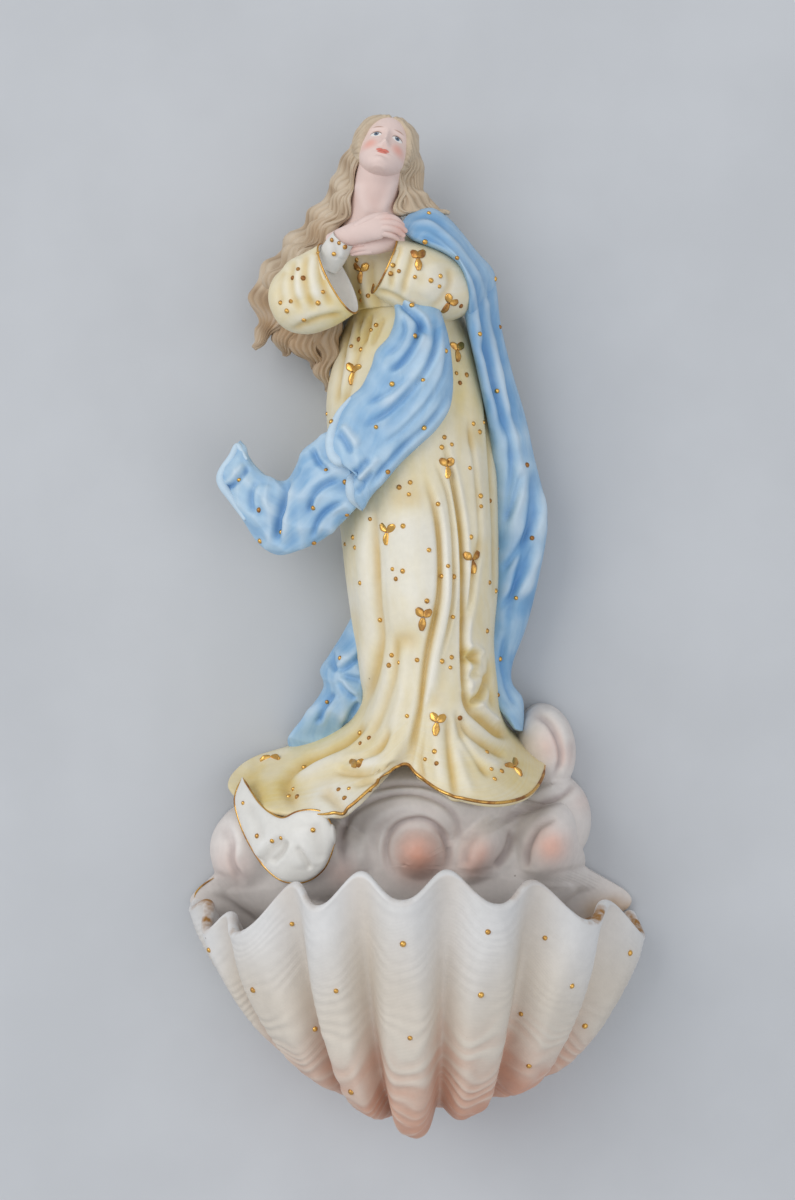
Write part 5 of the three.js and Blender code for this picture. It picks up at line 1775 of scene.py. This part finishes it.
@dataclass
class Figure:
    """Head with a plain painted face, neck and both hands."""

    place: Row = (-7.9, 30.0, 37.3)
    size: float = 1.07
    lean_back: float = math.radians(-30)
    lean_side: float = math.radians(14)
    skull: Rows = (
        (-10.6, 1.6, 7.4, -4.6),
        (-9.6, 3.4, 8.3, -1.5),
        (-7.4, 5.2, 8.6, 2),
        (-4, 6.6, 8.5, 6),
        (0, 7.5, 8.3, 8.6),
        (4, 7.7, 8.2, 9.4),
        (7.5, 6.4, 6.9, 8.4),
        (9.8, 3.8, 4, 5.6),
        (10.6, 1.2, 1, 2.2),
    )
    # Raised and sunk places of the face: across, up, half width, half height, height; paired unless across is 0.
    features: Rows = (
        (3.05, 0.0, 1.9, 1.3, -0.55),
        (3.05, 0.0, 1.25, 0.75, 0.5),
        (3.1, 2.3, 2.2, 0.8, 0.3),
        (0.0, 0.6, 0.8, 1.6, 0.55),
        (0.0, -1.6, 0.75, 1.6, 0.95),
        (0.0, -3.4, 0.85, 1.1, 1.5),
        (0.95, -3.9, 0.65, 0.6, 0.5),
        (0.0, -5.0, 0.5, 0.5, -0.2),
        (0.75, -5.85, 0.95, 0.45, 0.4),
        (0.0, -6.32, 1.9, 0.26, -0.45),
        (0.0, -6.85, 1.3, 0.5, 0.5),
        (0.0, -7.8, 1.5, 0.5, -0.25),
        (0.0, -9.0, 1.7, 1.0, 0.55),
        (4.2, -2.9, 2.0, 1.8, 0.25),
    )
    neck_rows: Rows = (
        (381, 156, 30.5, 6.0, 7.6),
        (380, 167, 30.5, 6.5, 8.2),
        (378, 182, 29.5, 7.0, 7.4),
        (375, 198, 28.5, 7.2, 7),
        (374, 212, 28, 7.8, 7),
        (373, 230, 27, 10, 8),
        (372, 250, 27, 12, 9),
    )
    right_palm: Rows = (
        (332, 243, 40, 2.9, 2.4),
        (345, 237, 43, 3.1, 2.4),
        (358, 232.5, 45, 3.4, 2.4),
        (370, 229, 46, 3.6, 2.3),
        (380, 227.5, 46.4, 3.4, 2.0),
        (385, 227.5, 46.3, 2.6, 1.6),
    )
    right_fingers: tuple[Rows, ...] = (
        ((374, 220, 46.6, 1.15, 1.1), (385, 217.5, 47, 1.1, 1.05), (395, 219, 46.2, 1.0, 1.0), (402, 224.5, 44.8, 0.75, 0.75)),
        ((375, 224.5, 47, 1.15, 1.1), (387, 222.5, 47.4, 1.1, 1.05), (398, 225, 46.4, 1.0, 1.0), (405, 230.5, 44.8, 0.75, 0.75)),
        ((375, 229, 47, 1.15, 1.1), (387, 228, 47.4, 1.1, 1.05), (397, 230.5, 46.4, 1.0, 0.95), (403, 235, 45, 0.72, 0.72)),
        ((373, 233.5, 46.6, 1.05, 1.0), (384, 233.5, 46.9, 1.0, 0.95), (392, 235.5, 46.2, 0.9, 0.85), (397, 238.5, 45, 0.65, 0.65)),
        ((356, 227, 46, 1.3, 1.2), (366, 220.5, 46.8, 1.2, 1.1), (376, 216.5, 46.6, 1.05, 1.0), (386, 214.6, 45.8, 0.75, 0.75)),
    )
    left_palm: Rows = (
        (400, 240, 39.5, 2.6, 2.2),
        (388, 242, 41.5, 2.8, 2.2),
        (376, 244.5, 42.4, 2.9, 2.2),
        (366, 247, 42.4, 2.5, 2.0),
    )
    left_fingers: tuple[Rows, ...] = (
        ((370, 243.5, 43.3, 1.05, 1.0), (359, 244.5, 43.2, 1.0, 0.95), (351, 246.5, 42.4, 0.7, 0.7)),
        ((370, 247.5, 43.5, 1.05, 1.0), (358, 249, 43.2, 1.0, 0.95), (350.5, 251, 42.4, 0.7, 0.7)),
        ((371, 251, 43.1, 1.0, 0.95), (360, 252.5, 42.8, 0.9, 0.85), (353, 254, 42, 0.65, 0.65)),
    )
    neck_folds: tuple[Stroke, ...] = (
        Stroke(5, 0.5, ((396, 178), (390, 196), (381, 214))),
        Stroke(4, -0.4, ((402, 180), (397, 198), (389, 214))),
        Stroke(5, 0.4, ((358, 182), (362, 200), (370, 216))),
    )
    flush: tuple[Patch, ...] = (Patch((402, 230), 9, 0.7), Patch((354, 249), 8, 0.5), Patch((388, 216), 6, 0.4))

    def lean(self, points: Array) -> Array:
        """Leans points of the upright head back and to the side, and puts them in the head's place."""
        turn = Matrix.Rotation(self.lean_side, 3, "Y") @ Matrix.Rotation(self.lean_back, 3, "X")
        x, depth, z = self.place
        return self.size * points @ np.array(turn).T + np.array((x, -depth, z))

    def head(self) -> Surface:
        """Ovals from chin to crown, with the face's features added as bells towards the front."""
        rows = smooth_rows(self.skull, 170)
        high, wide, face, back = (rows[:, k, None] for k in range(4))
        u = np.linspace(-1, 1, 190, endpoint=False)
        bearing = math.pi * (0.55 * u + 0.45 * u**3)
        reach = (face - back) / 2 + (face + back) / 2 * np.cos(bearing)
        x, z = wide * np.sin(bearing), high + 0 * bearing
        front = step_up(np.cos(bearing), 0.05, 0.4) + 0 * x
        rise = np.zeros_like(x)
        for across, up, half, tall, height in self.features:
            gap = np.abs(x) - across if across else x
            rise += height * np.exp(-((gap / half) ** 2) - ((z - up) / tall) ** 2)
        made = Surface(np.stack([x, -(reach + rise * front), z], -1))
        marks = np.stack([x, z, front], -1)
        # Darker tint round the raised features of the face: painted shade.
        made.marks["hollow"] = np.clip((blur(rise, 7, 7) - rise) * 1.2, 0, 1) * front
        made.marks["face"] = marks
        made.rings = self.lean(made.rings)
        return made

    def hand(self, palm: Rows, fingers: tuple[Rows, ...]) -> list[Surface]:
        """A palm with its fingers, each a drawn limb."""
        parts = [drawn_limb(palm, 44, 44, (1.0, 1.6))]
        parts += [drawn_limb(rows, 30, 20, (0.6, 0.9)) for rows in fingers]
        return [part.stain(self.flush) for part in parts]

    def build(self) -> list[bpy.types.Object]:
        """Builds and dresses the pieces.

        Returns:
            The pieces.
        """
        skin, face = SKIN.material(), FACE.material()
        neck = drawn_limb(self.neck_rows, 100, 100, (1.0, 1.0)).press(self.neck_folds)
        right, left = self.hand(self.right_palm, self.right_fingers), self.hand(self.left_palm, self.left_fingers)
        return [
            make_piece("head_visual", [self.head()], face, ("head",)),
            make_piece("neck_visual", [neck], skin, ("neck",)),
            make_piece("right_hand_visual", right, skin, ("right_hand",)),
            make_piece("left_hand_visual", left, skin, ("left_hand",)),
        ]


@dataclass
class Hair:
    """Hair over the head, the long fall behind one shoulder and the lock on the other side."""

    figure: Figure
    cover: float = 0.5
    side_cover: float = 1.1
    sway: float = 3.2
    wave: float = 5.2
    fall_rows: Rows = (
        (-15.6, 20, 41, 2.4, 4),
        (-17.2, 20, 32, 3.6, 6),
        (-21, 18.5, 22.5, 5, 7.5),
        (-27.2, 16.5, 11.5, 7, 8.5),
        (-36, 13.5, 0, 9, 9),
        (-35.5, 11, -10.5, 8, 9),
        (-31, 9.5, -16.5, 6, 8),
        (-27, 8, -21, 3.6, 5.5),
        (-25.5, 7, -25, 1.2, 2.4),
    )
    lock_rows: Rows = (
        (-1.5, 23.5, 43, 2.4, 4),
        (1.2, 24, 34, 2.8, 4.8),
        (1.4, 25, 26.5, 2.6, 4.8),
        (4.6, 26, 22, 2.6, 4.8),
        (8.6, 25.5, 18.5, 2.2, 4),
    )
    # Tresses: number of ridges, then rows of a ribbon.
    fall_tresses: tuple[tuple[float, Rows], ...] = (
        (
            5.0,
            (
                (368, 126, 376, 130, 24, 27, 1.5),
                (353, 139, 366, 146, 23, 28, 3),
                (344, 158, 358, 164, 22, 28, 3.5),
                (332, 177, 351, 184, 21, 28, 4),
                (330, 190, 348, 200, 21, 28, 4.5),
                (317, 204, 342, 217, 20, 28, 5),
                (303, 222, 330, 238, 19, 27, 5),
                (287, 240, 316, 257, 18, 26, 5),
                (270, 260, 303, 276, 17, 25, 5),
                (256, 280, 292, 294, 16, 23, 5),
                (251, 297, 287, 304, 15, 22, 5),
                (256, 318, 284, 320, 14, 20, 4.5),
                (258, 331, 276, 335, 13, 18, 3.5),
                (252, 347, 256, 348, 12, 14, 0.8),
            ),
        ),
        (
            4.0,
            (
                (352, 176, 358, 172, 26, 29, 2),
                (338, 192, 350, 190, 26, 29.5, 3),
                (326, 208, 344, 208, 25.5, 29.5, 3.5),
                (312, 226, 334, 226, 25, 29, 3.5),
                (294, 244, 320, 246, 24, 28, 4),
                (278, 262, 304, 264, 23, 27, 4),
                (266, 282, 290, 282, 22, 25, 3.5),
                (264, 300, 284, 300, 20, 23, 3),
            ),
        ),
        (
            3.0,
            (
                (372, 128, 383, 121, 28, 30, 1.2),
                (362, 141, 369, 137, 29, 32, 2),
                (355, 158, 361, 153, 29, 32, 2.5),
                (350, 175, 356, 170, 28, 31, 2.5),
                (345, 192, 353, 188, 28, 31, 2.5),
                (338, 208, 353, 205, 28, 31, 3),
                (326, 224, 346, 220, 28, 31, 3.5),
                (312, 240, 334, 236, 27, 30, 3.5),
                (296, 256, 318, 252, 26, 29, 3.5),
                (282, 272, 304, 268, 25, 27, 3),
                (274, 288, 296, 286, 22, 25, 2),
            ),
        ),
        (
            4.0,
            (
                (264, 298, 300, 300, 18, 22, 4),
                (266, 314, 302, 316, 17, 22, 4.5),
                (272, 328, 302, 330, 16, 21, 4.5),
                (276, 342, 296, 344, 14, 19, 3.5),
                (282, 355, 286, 356, 12, 14, 0.8),
            ),
        ),
        (
            4.0,
            (
                (286, 314, 322, 314, 20, 23, 4),
                (288, 332, 322, 332, 19, 22, 4.5),
                (294, 350, 320, 352, 17, 20, 4),
                (304, 362, 318, 364, 14, 17, 2.5),
                (312, 369, 315, 370, 12, 13, 0.8),
            ),
        ),
        (
            4.0,
            (
                (304, 318, 345, 314, 20, 22, 4),
                (306, 338, 342, 336, 19, 21, 4.5),
                (312, 356, 336, 358, 16, 19, 4),
                (318, 374, 332, 376, 14, 16, 2.5),
                (325, 391, 328, 391, 12, 13, 0.6),
            ),
        ),
    )
    side_tresses: tuple[tuple[float, Rows], ...] = (
        (
            3.0,
            (
                (392, 119, 402, 120, 28, 26, 1.2),
                (403, 130, 414, 132, 30, 26, 2.2),
                (408, 146, 421, 150, 30, 25.5, 2.8),
                (407, 162, 420, 166, 30, 25.5, 2.8),
                (404, 178, 419, 182, 30, 26, 2.8),
                (399, 193, 418, 193, 30.5, 28, 2.8),
                (401, 205, 428, 198, 31.5, 28.5, 2.8),
                (412, 213, 440, 207, 31.5, 28, 2.2),
                (426, 217, 447, 216, 30.5, 27.5, 1),
            ),
        ),
        (
            3.0,
            (
                (390, 121, 398, 122, 31, 30, 1),
                (399, 134, 408, 136, 32.5, 31, 1.8),
                (403, 150, 412, 152, 32, 31, 2),
                (401, 166, 410, 168, 31.5, 30.5, 2),
                (398, 182, 408, 184, 31, 30, 2),
                (394, 198, 405, 198, 31.5, 30.5, 2),
                (397, 209, 410, 207, 32.5, 31.5, 2),
                (406, 216, 420, 212, 32.5, 31.5, 1.2),
            ),
        ),
    )
    tint_patches: tuple[Patch, ...] = (Patch((310, 345), 44, 0.9), Patch((262, 310), 26, 0.6), Patch((322, 234), 16, 0.5))

    def tress(self, strands: float, rows: Rows, number: int) -> Surface:
        """A flat wavy lock: both drawn edges sway by one sine, and ridges |cos| of its strands run along it.

        Args:
            strands: number of ridges.
            rows: rows of a ribbon.
            number: place in the set, which shifts the waves.
        Returns:
            The surface.
        """
        path = smooth_rows(rows, 90)
        middle = (path[:, 0:2] + path[:, 2:4]) / 2
        course = unit(np.gradient(middle, axis=0))
        far = np.cumsum(np.linalg.norm(np.diff(middle, axis=0, prepend=middle[:1]), axis=1))
        wide = np.linalg.norm(path[:, 0:2] - path[:, 2:4], axis=1)
        sway = self.sway * np.sin(far / self.wave + 1.9 * number) * step_up(far, 4, 24) * step_up(wide, 3, 12)
        shift = np.column_stack([-course[:, 1], course[:, 0]]) * sway[:, None]
        path[:, 0:2] += shift
        path[:, 2:4] += shift
        made = ribbon(path, 96, 116, 0.6, (0.6, 0.3))
        rings, points = made.rings.shape[:2]
        s = np.linspace(0, far[-1], rings)[:, None]
        u = np.cos(2 * math.pi * np.arange(points) / points)
        q = strands * u / 2 + 0.45 * np.sin(s / 17 + 1.3 * number + 1.5 * u) + 0.2 * np.sin(s / 7 + 3 * u)
        bundles = np.abs(np.cos(math.pi * q)) ** 0.8 - 0.6
        fine = np.abs(np.cos(3 * math.pi * q + 0.8)) - 0.6
        crimp = np.sin(s / self.wave + 1.9 * number + 1.2 * u)
        fade = step_up(np.minimum(s, far[-1] - s), 0, 8)
        return made.emboss((0.55 * bundles + 0.16 * fine + 0.4 * crimp) * fade, (6, 5), 0.65).stain(self.tint_patches, 0.15)

    def base(self, rows: Rows) -> Surface:
        """A plain mass behind the tresses, combed along its length."""
        made = limb(rows, 110, 100, (1.5, 0.6))
        a = 2 * math.pi * np.arange(100) / 100
        s = np.linspace(0, 1, len(made.rings))[:, None]
        comb = np.abs(np.cos(9 * a + 1.2 * np.sin(14 * s))) ** 0.7
        made.emboss(0.6 * (comb - 0.6) * step_up(np.minimum(s, 1 - s), 0, 0.1), (6, 4), 0.5)
        return made.stain(self.tint_patches, 0.2).flat_back()

    def cap(self) -> Surface:
        """The skull's ovals moved out by a cover that sinks under the skin inside the oval of the face."""
        figure = self.figure
        rows = smooth_rows(figure.skull, 190)
        rows = rows[rows[:, 0] > -6.0]
        high, wide, face, back = (rows[:, k, None] for k in range(4))
        bearing = np.linspace(-math.pi, math.pi, 200, endpoint=False)
        x, z = wide * np.sin(bearing), high + 0 * bearing
        reach = (face - back) / 2 + (face + back) / 2 * np.cos(bearing)
        made = Surface(np.stack([x, -reach, z], -1))
        oval = np.hypot(x / 6.4, (z + 3.2) / 10.6)
        bare = (1 - step_up(oval, 0.93, 1.03)) * step_up(np.cos(bearing), -0.1, 0.1)
        under = step_up(-z, 4.5, 7.5) * step_up(np.cos(bearing), -0.7, -0.3)
        bare = np.maximum(bare, under)
        angle = np.arctan2(z + 1.0, reach + 2.0)
        q = 11 * angle / math.pi + 0.55 * np.sin(0.95 * np.abs(x) + 3 * angle) + 0.2 * np.sin(2.1 * np.abs(x))
        comb = 0.36 * (np.abs(np.cos(math.pi * q)) ** 0.7 - 0.6) + 0.12 * (np.abs(np.cos(3 * math.pi * q)) - 0.6)
        part = -0.6 * np.exp(-((x / 0.5) ** 2)) * step_up(z, 2, 5)
        cover = self.cover + self.side_cover * np.abs(np.sin(bearing)) * step_up(np.abs(x), 2, 6) * step_up(z, -5, 1)
        height = (1 - bare) * cover - 0.9 * bare
        made.rings += made.normals() * height[..., None]
        made.emboss((comb * step_up(np.abs(x), 0.2, 1.6) + part) * (1 - bare), (5, 4), 0.4)
        made.rings = figure.lean(made.rings)
        return made

    def build(self) -> list[bpy.types.Object]:
        """Builds and dresses the pieces.

        Returns:
            The pieces.
        """
        finish = HAIR.material()
        fall = [self.tress(strands, rows, n) for n, (strands, rows) in enumerate(self.fall_tresses)]
        side = [self.tress(strands, rows, n + 7) for n, (strands, rows) in enumerate(self.side_tresses)]
        return [
            make_piece("hair_cap_visual", [self.cap()], finish, ("hair_cap",)),
            make_piece("hair_fall_visual", [self.base(self.fall_rows), *fall], finish, ("hair_fall",)),
            make_piece("hair_lock_visual", [self.base(self.lock_rows), *side], finish, ("hair_lock",)),
        ]


# ---------------------------------------------------------------- gilding


@dataclass
class Gilding:
    """Raised gold dots and sprigs, and gilt lines along the edges of the cloth."""

    carriers: dict[str, bpy.types.Object]
    robe: Robe
    linen: Linen
    dot_half: float = 0.82
    # Sprigs: drawn place, turn in degrees, length of a short leaf in pixels.
    sprigs: Rows = (
        (418, 258, 0, 9),
        (449, 303, 40, 8.5),
        (361, 271, 5, 9),
        (353, 372, 12, 9.5),
        (457, 350, 0, 8.5),
        (447, 466, 0, 9),
        (387, 532, 8, 9.5),
        (472, 560, -4, 10),
        (423, 617, 10, 10),
        (437, 722, 12, 10),
        (271, 756, 70, 8.5),
        (357, 767, 0, 9),
        (514, 767, -35, 8.5),
    )
    # Leaves of a sprig: turn in degrees, share of the length, half width in millimetres.
    leaves: Rows = ((-44, 1.0, 1.2), (40, 1.0, 1.2), (176, 1.3, 1.1))
    # Threes of dots: drawn middle and spread in pixels.
    trios: Rows = (
        (298, 275, 6),
        (286, 305, 6),
        (394, 270, 5),
        (437, 281, 6),
        (363, 296, 5),
        (357, 345, 6),
        (461, 377, 6),
        (327, 419, 5),
        (479, 426, 6),
        (446, 443, 6),
        (406, 488, 7),
        (484, 501, 6),
        (351, 543, 6),
        (397, 573, 6),
        (448, 573, 7),
        (495, 585, 6),
        (393, 661, 6),
        (448, 662, 6),
        (363, 738, 6),
        (432, 758, 7),
        (496, 773, 6),
        (293, 794, 5),
        (344, 792, 6),
    )
    robe_dots: Rows = (
        (415, 277), (412, 305), (461, 306), (323, 292), (318, 303), (304, 320), (318, 253), (357, 260), (376, 325),
        (371, 330), (337, 342), (438, 504), (370, 519), (403, 526), (429, 550), (470, 468), (471, 537), (360, 583),
        (345, 577), (427, 601), (380, 620), (453, 617), (487, 631), (417, 660), (407, 716), (460, 718), (487, 752),
        (518, 731), (304, 767), (370, 790), (390, 771), (499, 549), (498, 695),
    )
    mantle_dots: Rows = (
        (429, 213), (425, 242), (438, 255), (457, 258), (495, 279), (480, 334), (500, 327), (415, 336), (446, 351),
        (423, 380), (392, 384), (497, 391), (376, 427), (424, 428), (388, 472), (326, 470), (345, 482), (313, 508),
        (239, 480), (259, 510), (281, 532), (347, 515), (527, 465), (532, 538), (516, 598), (500, 659), (340, 658),
        (327, 702), (260, 541), (314, 543),
    )
    shell_dots: Rows = (
        (292, 924), (403, 944), (488, 932), (545, 938), (630, 953), (209, 950), (218, 983), (253, 990), (255, 1034),
        (336, 991), (481, 995), (572, 986), (521, 1014), (585, 1026), (315, 1029), (410, 1038), (351, 1092), (529, 1066),
    )
    wing_line: Rows = ((194.5, 897), (196, 892.5), (199, 888.5), (203, 885), (208, 881.5), (214, 878))
    linen_dots: Rows = ((243, 803), (257, 836), (272, 841), (281, 838), (313, 830), (332, 240), (339, 243), (345, 247), (334, 254))

    def landing(self, drawn: Row, names: tuple[str, ...]) -> tuple[Vector, Vector] | None:
        """Where the sight line through a drawn place first meets one of some pieces.

        Args:
            drawn: the pixel.
            names: pieces that may carry it.
        Returns:
            The place and the normal in metres, or None where it meets none.
        """
        eye = Vector(EYE.place) * MM
        aim = Vector(EYE.at_depth(np.array(drawn, float), np.array(30.0))) * MM
        way = (aim - eye).normalized()
        found = [self.carriers[name].ray_cast(eye, way) for name in names]
        hits = [(spot - eye).length for met, spot, _, _ in found if met]
        if not hits:
            return None
        _, spot, normal, _ = min((hit for hit in found if hit[0]), key=lambda hit: (hit[1] - eye).length)
        return spot, normal

    @staticmethod
    def dome(spot: Vector, normal: Vector, half: Row, turn: float, points: int = 9, rings: int = 4) -> Surface:
        """A low dome on a surface: an oval cap with cos and sin of its height angle, and a short foot below.

        Args:
            spot: its place in metres.
            normal: the surface normal.
            half: half length, half width and height in millimetres.
            turn: direction of its length in the picture, in radians from upright.
            points: points round it.
            rings: rings from foot to top.
        Returns:
            The surface.
        """
        up = Vector((math.sin(turn), 0.0, math.cos(turn)))
        long = (up - normal * up.dot(normal)).normalized()
        wide = normal.cross(long)
        a = 2 * math.pi * np.arange(points)[:, None] / points
        rise = np.linspace(0, 0.46 * math.pi, rings)[:, None, None]
        flat = np.array(long) * half[0] * np.cos(a) + np.array(wide) * half[1] * np.sin(a)
        cap = flat * np.cos(rise) + np.array(normal) * half[2] * np.sin(rise)
        foot = flat - np.array(normal) * 0.5 * half[2]
        return Surface(np.concatenate([foot[None], cap]) + np.array(spot) / MM)

    def dots(self, places: Rows, names: tuple[str, ...], half: float) -> list[Surface]:
        """Round dots where drawn places land, in three sizes by turns.

        Args:
            places: the drawn places.
            names: pieces that may carry them.
            half: half width.
        Returns:
            The dots.
        """
        made = []
        for n, place in enumerate(places):
            hit = self.landing(place[:2], names)
            if hit:
                size = half * (0.8, 1.0, 0.9)[n % 3]
                made.append(self.dome(*hit, (size, size, 0.8 * size), 0.0))
        return made

    def three(self) -> Rows:
        """Places of the dots in each group of three, at the corners of a triangle that turns from group to group."""
        groups = np.asarray(self.trios, float)
        turn = 0.9 * np.arange(len(groups))[:, None] + np.array((0.0, 2.1, 4.2))
        across = groups[:, :1] + groups[:, 2:] * np.sin(turn)
        down = groups[:, 1:2] - groups[:, 2:] * np.cos(turn)
        return np.stack([across, down], -1).reshape(-1, 2)

    def leaf(self, foot: Row, tip: Row, half: float, names: tuple[str, ...]) -> Surface | None:
        """A flat leaf laid on the cloth: an oval carried through the places where four drawn points land.

        Args:
            foot: drawn place of its foot.
            tip: drawn place of its tip.
            half: half width.
            names: pieces that may carry it.
        Returns:
            The surface, or None where the cloth ends or steps under it.
        """
        share = np.linspace(0, 1, 4)[:, None]
        hits = [self.landing(tuple(spot), names) for spot in np.asarray(foot) * (1 - share) + np.asarray(tip) * share]
        if None in hits:
            return None
        spots = np.array([hit[0] for hit in hits]) / MM
        if np.abs(np.diff(spots[:, 1])).max() > 2.5:
            return None
        width = half * np.array((0.5, 0.95, 1.0, 0.6))
        rows = np.column_stack([spots[:, 0], 0.2 - spots[:, 1], spots[:, 2], width, 0.4 + 0 * width])
        return limb(rows, 12, 12, (0.2, 0.3))

    def sprig_leaves(self, names: tuple[str, ...]) -> list[Surface]:
        """Sprigs of two short leaves and one long one.

        Args:
            names: pieces that may carry them.
        Returns:
            The leaves.
        """
        made = []
        for across, down, turn, size in self.sprigs:
            for lean, long, half in self.leaves:
                way = math.radians(turn + lean)
                far = np.array((0.12, long)) * size
                ends = np.column_stack([across + far * math.sin(way), down - far * math.cos(way)])
                made.append(self.leaf(tuple(ends[0]), tuple(ends[1]), half, names))
        return [leaf for leaf in made if leaf]

    @staticmethod
    def line(path: Array, half: float, rise: float = 0.0) -> Surface:
        """A thin round cord of gilding along an edge, tapered at both ends.

        Args:
            path: points of the edge.
            half: half thickness.
            rise: how far it is moved towards the viewer.
        Returns:
            The surface.
        """
        rows = np.column_stack([path[:, 0], -path[:, 1] + rise, path[:, 2]])
        t = np.linspace(0, 1, len(rows))
        thick = half * (0.35 + 0.65 * step_up(np.minimum(t, 1 - t), 0.0, 0.06))
        return limb(np.column_stack([rows, thick, thick]), 2 * len(rows), 8, (0.2, 0.2))

    def lines(self) -> list[Surface]:
        """Gilt lines on the hem, on both edges of the lining, on the cuffs and on the cloud's wing tip."""
        bearing = np.degrees(self.robe.bearings(len(self.robe.hem_edge)))
        hem = self.robe.hem_edge[(bearing > -50) & (bearing < 98)]
        made = [self.line(hem, 0.5)]
        made += [self.line(edge[::2], 0.42, 0.3) for edge in self.linen.lining_edges]
        for ring in self.robe.cuffs.values():
            turned = np.roll(ring, -int(np.argmax(ring[:, 1])), 0)
            made.append(self.line(turned[2:-2:2], 0.3, 0.0))
        hits = [self.landing(place, ("cloud_bank",)) for place in self.wing_line]
        wing = np.array([hit[0] for hit in hits if hit]) / MM
        return [*made, self.line(wing, 0.28)] if len(wing) > 2 else made

    def build(self) -> list[bpy.types.Object]:
        """Builds and dresses the gilding.

        Returns:
            The pieces.
        """
        finish = GILT.material()
        robe = ("robe_skirt", "robe_bodice", "right_sleeve", "left_sleeve", "right_undersleeve", "mantle_swag")
        blue = ("mantle_swag", "mantle_flying_end", "mantle_shoulder", "mantle_fall", "mantle_tail")
        on_robe = self.dots(self.robe_dots, robe, self.dot_half) + self.dots(self.three(), robe, self.dot_half)
        return [
            make_piece("gold_dots_robe", on_robe, finish),
            make_piece("gold_sprigs", self.sprig_leaves(robe), finish),
            make_piece("gold_dots_mantle", self.dots(self.mantle_dots, blue, 0.85), finish),
            make_piece("gold_dots_shell", self.dots(self.shell_dots, ("shell_bowl",), 0.95), finish),
            make_piece("gold_dots_linen", self.dots(self.linen_dots, ("hem_lining", "right_undersleeve"), 0.8), finish),
            make_piece("gilt_lines", self.lines(), finish),
        ]


# ---------------------------------------------------------------- studio


@dataclass
class Studio:
    """The pale wall behind the stoup, soft lamps and the camera."""

    wall_colour: Colour = (199, 202, 206)
    wall_half: float = 3.0
    # Lamps: place and aim in metres, size, power, colour.
    lamps: tuple[tuple[Row, Row, float, float, Row], ...] = (
        ((-1.9, -2.1, 0.9), (0.0, 0.0, -0.1), 2.4, 38.0, (1.0, 0.985, 0.96)),
        ((1.2, -2.4, -0.5), (0.0, 0.0, -0.1), 2.6, 16.0, (0.98, 0.985, 1.0)),
    )
    sky: float = 0.7

    def wall(self) -> bpy.types.Object:
        """A plane just behind the flat back that shows, and keeps light off, from the front only."""
        w = self.wall_half
        mesh = bpy.data.meshes.new("wall")
        mesh.from_pydata([(-w, 0.0006, -w), (w, 0.0006, -w), (w, 0.0006, w), (-w, 0.0006, w)], [], [(0, 1, 2, 3)])
        made = bpy.data.materials.new("wall")
        made.use_nodes = True
        graph = Graph(made.node_tree)
        shader = made.node_tree.nodes["Principled BSDF"]
        uneven = graph.ramp(graph.noise(14.0, 4.0), 0.3, 0.7)
        darker = tuple(0.97 * c for c in self.wall_colour)
        graph.feed(shader.inputs["Base Color"], graph.mix(uneven, linear(self.wall_colour), linear(darker)))
        shader.inputs["Roughness"].default_value = 0.9
        clear = graph.node("ShaderNodeBsdfTransparent")
        both = graph.node("ShaderNodeMixShader")
        behind = graph.node("ShaderNodeNewGeometry").outputs["Backfacing"]
        passed = graph.math("GREATER_THAN", graph.node("ShaderNodeLightPath").outputs["Transparent Depth"], 0.5)
        graph.feed(both.inputs[0], graph.math("MAXIMUM", behind, passed))
        graph.feed(both.inputs[1], shader.outputs[0])
        graph.feed(both.inputs[2], clear.outputs[0])
        graph.feed(made.node_tree.nodes["Material Output"].inputs["Surface"], both.outputs[0])
        mesh.materials.append(made)
        wall = bpy.data.objects.new("wall", mesh)
        bpy.context.scene.collection.objects.link(wall)
        return wall

    def build(self) -> None:
        """Makes the wall, the lamps, the world and the camera."""
        scene = bpy.context.scene
        scene.view_settings.view_transform = "Standard"
        self.wall()
        for number, (place, aim, size, power, colour) in enumerate(self.lamps):
            lamp = bpy.data.lights.new(f"lamp_{number}", "AREA")
            lamp.size, lamp.energy, lamp.color = size, power, colour
            held = bpy.data.objects.new(lamp.name, lamp)
            held.location = place
            held.rotation_mode = "QUATERNION"
            held.rotation_quaternion = (Vector(aim) - Vector(place)).to_track_quat("-Z", "Y")
            scene.collection.objects.link(held)
        world = bpy.data.worlds.new("room")
        scene.world = world
        world.use_nodes = True
        graph = Graph(world.node_tree)
        back = world.node_tree.nodes["Background"]
        back.inputs["Color"].default_value = linear((226, 229, 234))
        path = graph.node("ShaderNodeLightPath").outputs
        seen = graph.math("MAXIMUM", path["Is Camera Ray"], graph.math("MAXIMUM", path["Is Glossy Ray"], path["Is Transmission Ray"]))
        graph.feed(back.inputs["Strength"], graph.ramp(seen, 0.0, 1.0, (self.sky, 0.8)))
        lens = bpy.data.cameras.new("camera")
        lens.lens, lens.sensor_width = EYE.lens, EYE.sensor
        camera = bpy.data.objects.new("camera", lens)
        camera.location = [c * MM for c in EYE.place]
        camera.rotation_euler = (math.pi / 2, 0.0, 0.0)
        scene.collection.objects.link(camera)
        scene.camera = camera


def main() -> None:
    """Builds every sub-assembly in order."""
    logging.basicConfig(level=logging.INFO, format="%(message)s")
    Studio().build()
    robe, figure = Robe(), Figure()
    linen = Linen(robe)
    pieces = [
        *robe.build(),
        *linen.build(),
        *Mantle().build(),
        *Shell().build(),
        *Cloud().build(),
        *figure.build(),
        *Hair(figure).build(),
    ]
    bpy.context.view_layer.update()
    carriers = {piece.name.removesuffix("_visual"): piece for piece in pieces}
    Gilding(carriers, robe, linen).build()
    bpy.context.view_layer.update()


if __name__ == "__main__":
    main()
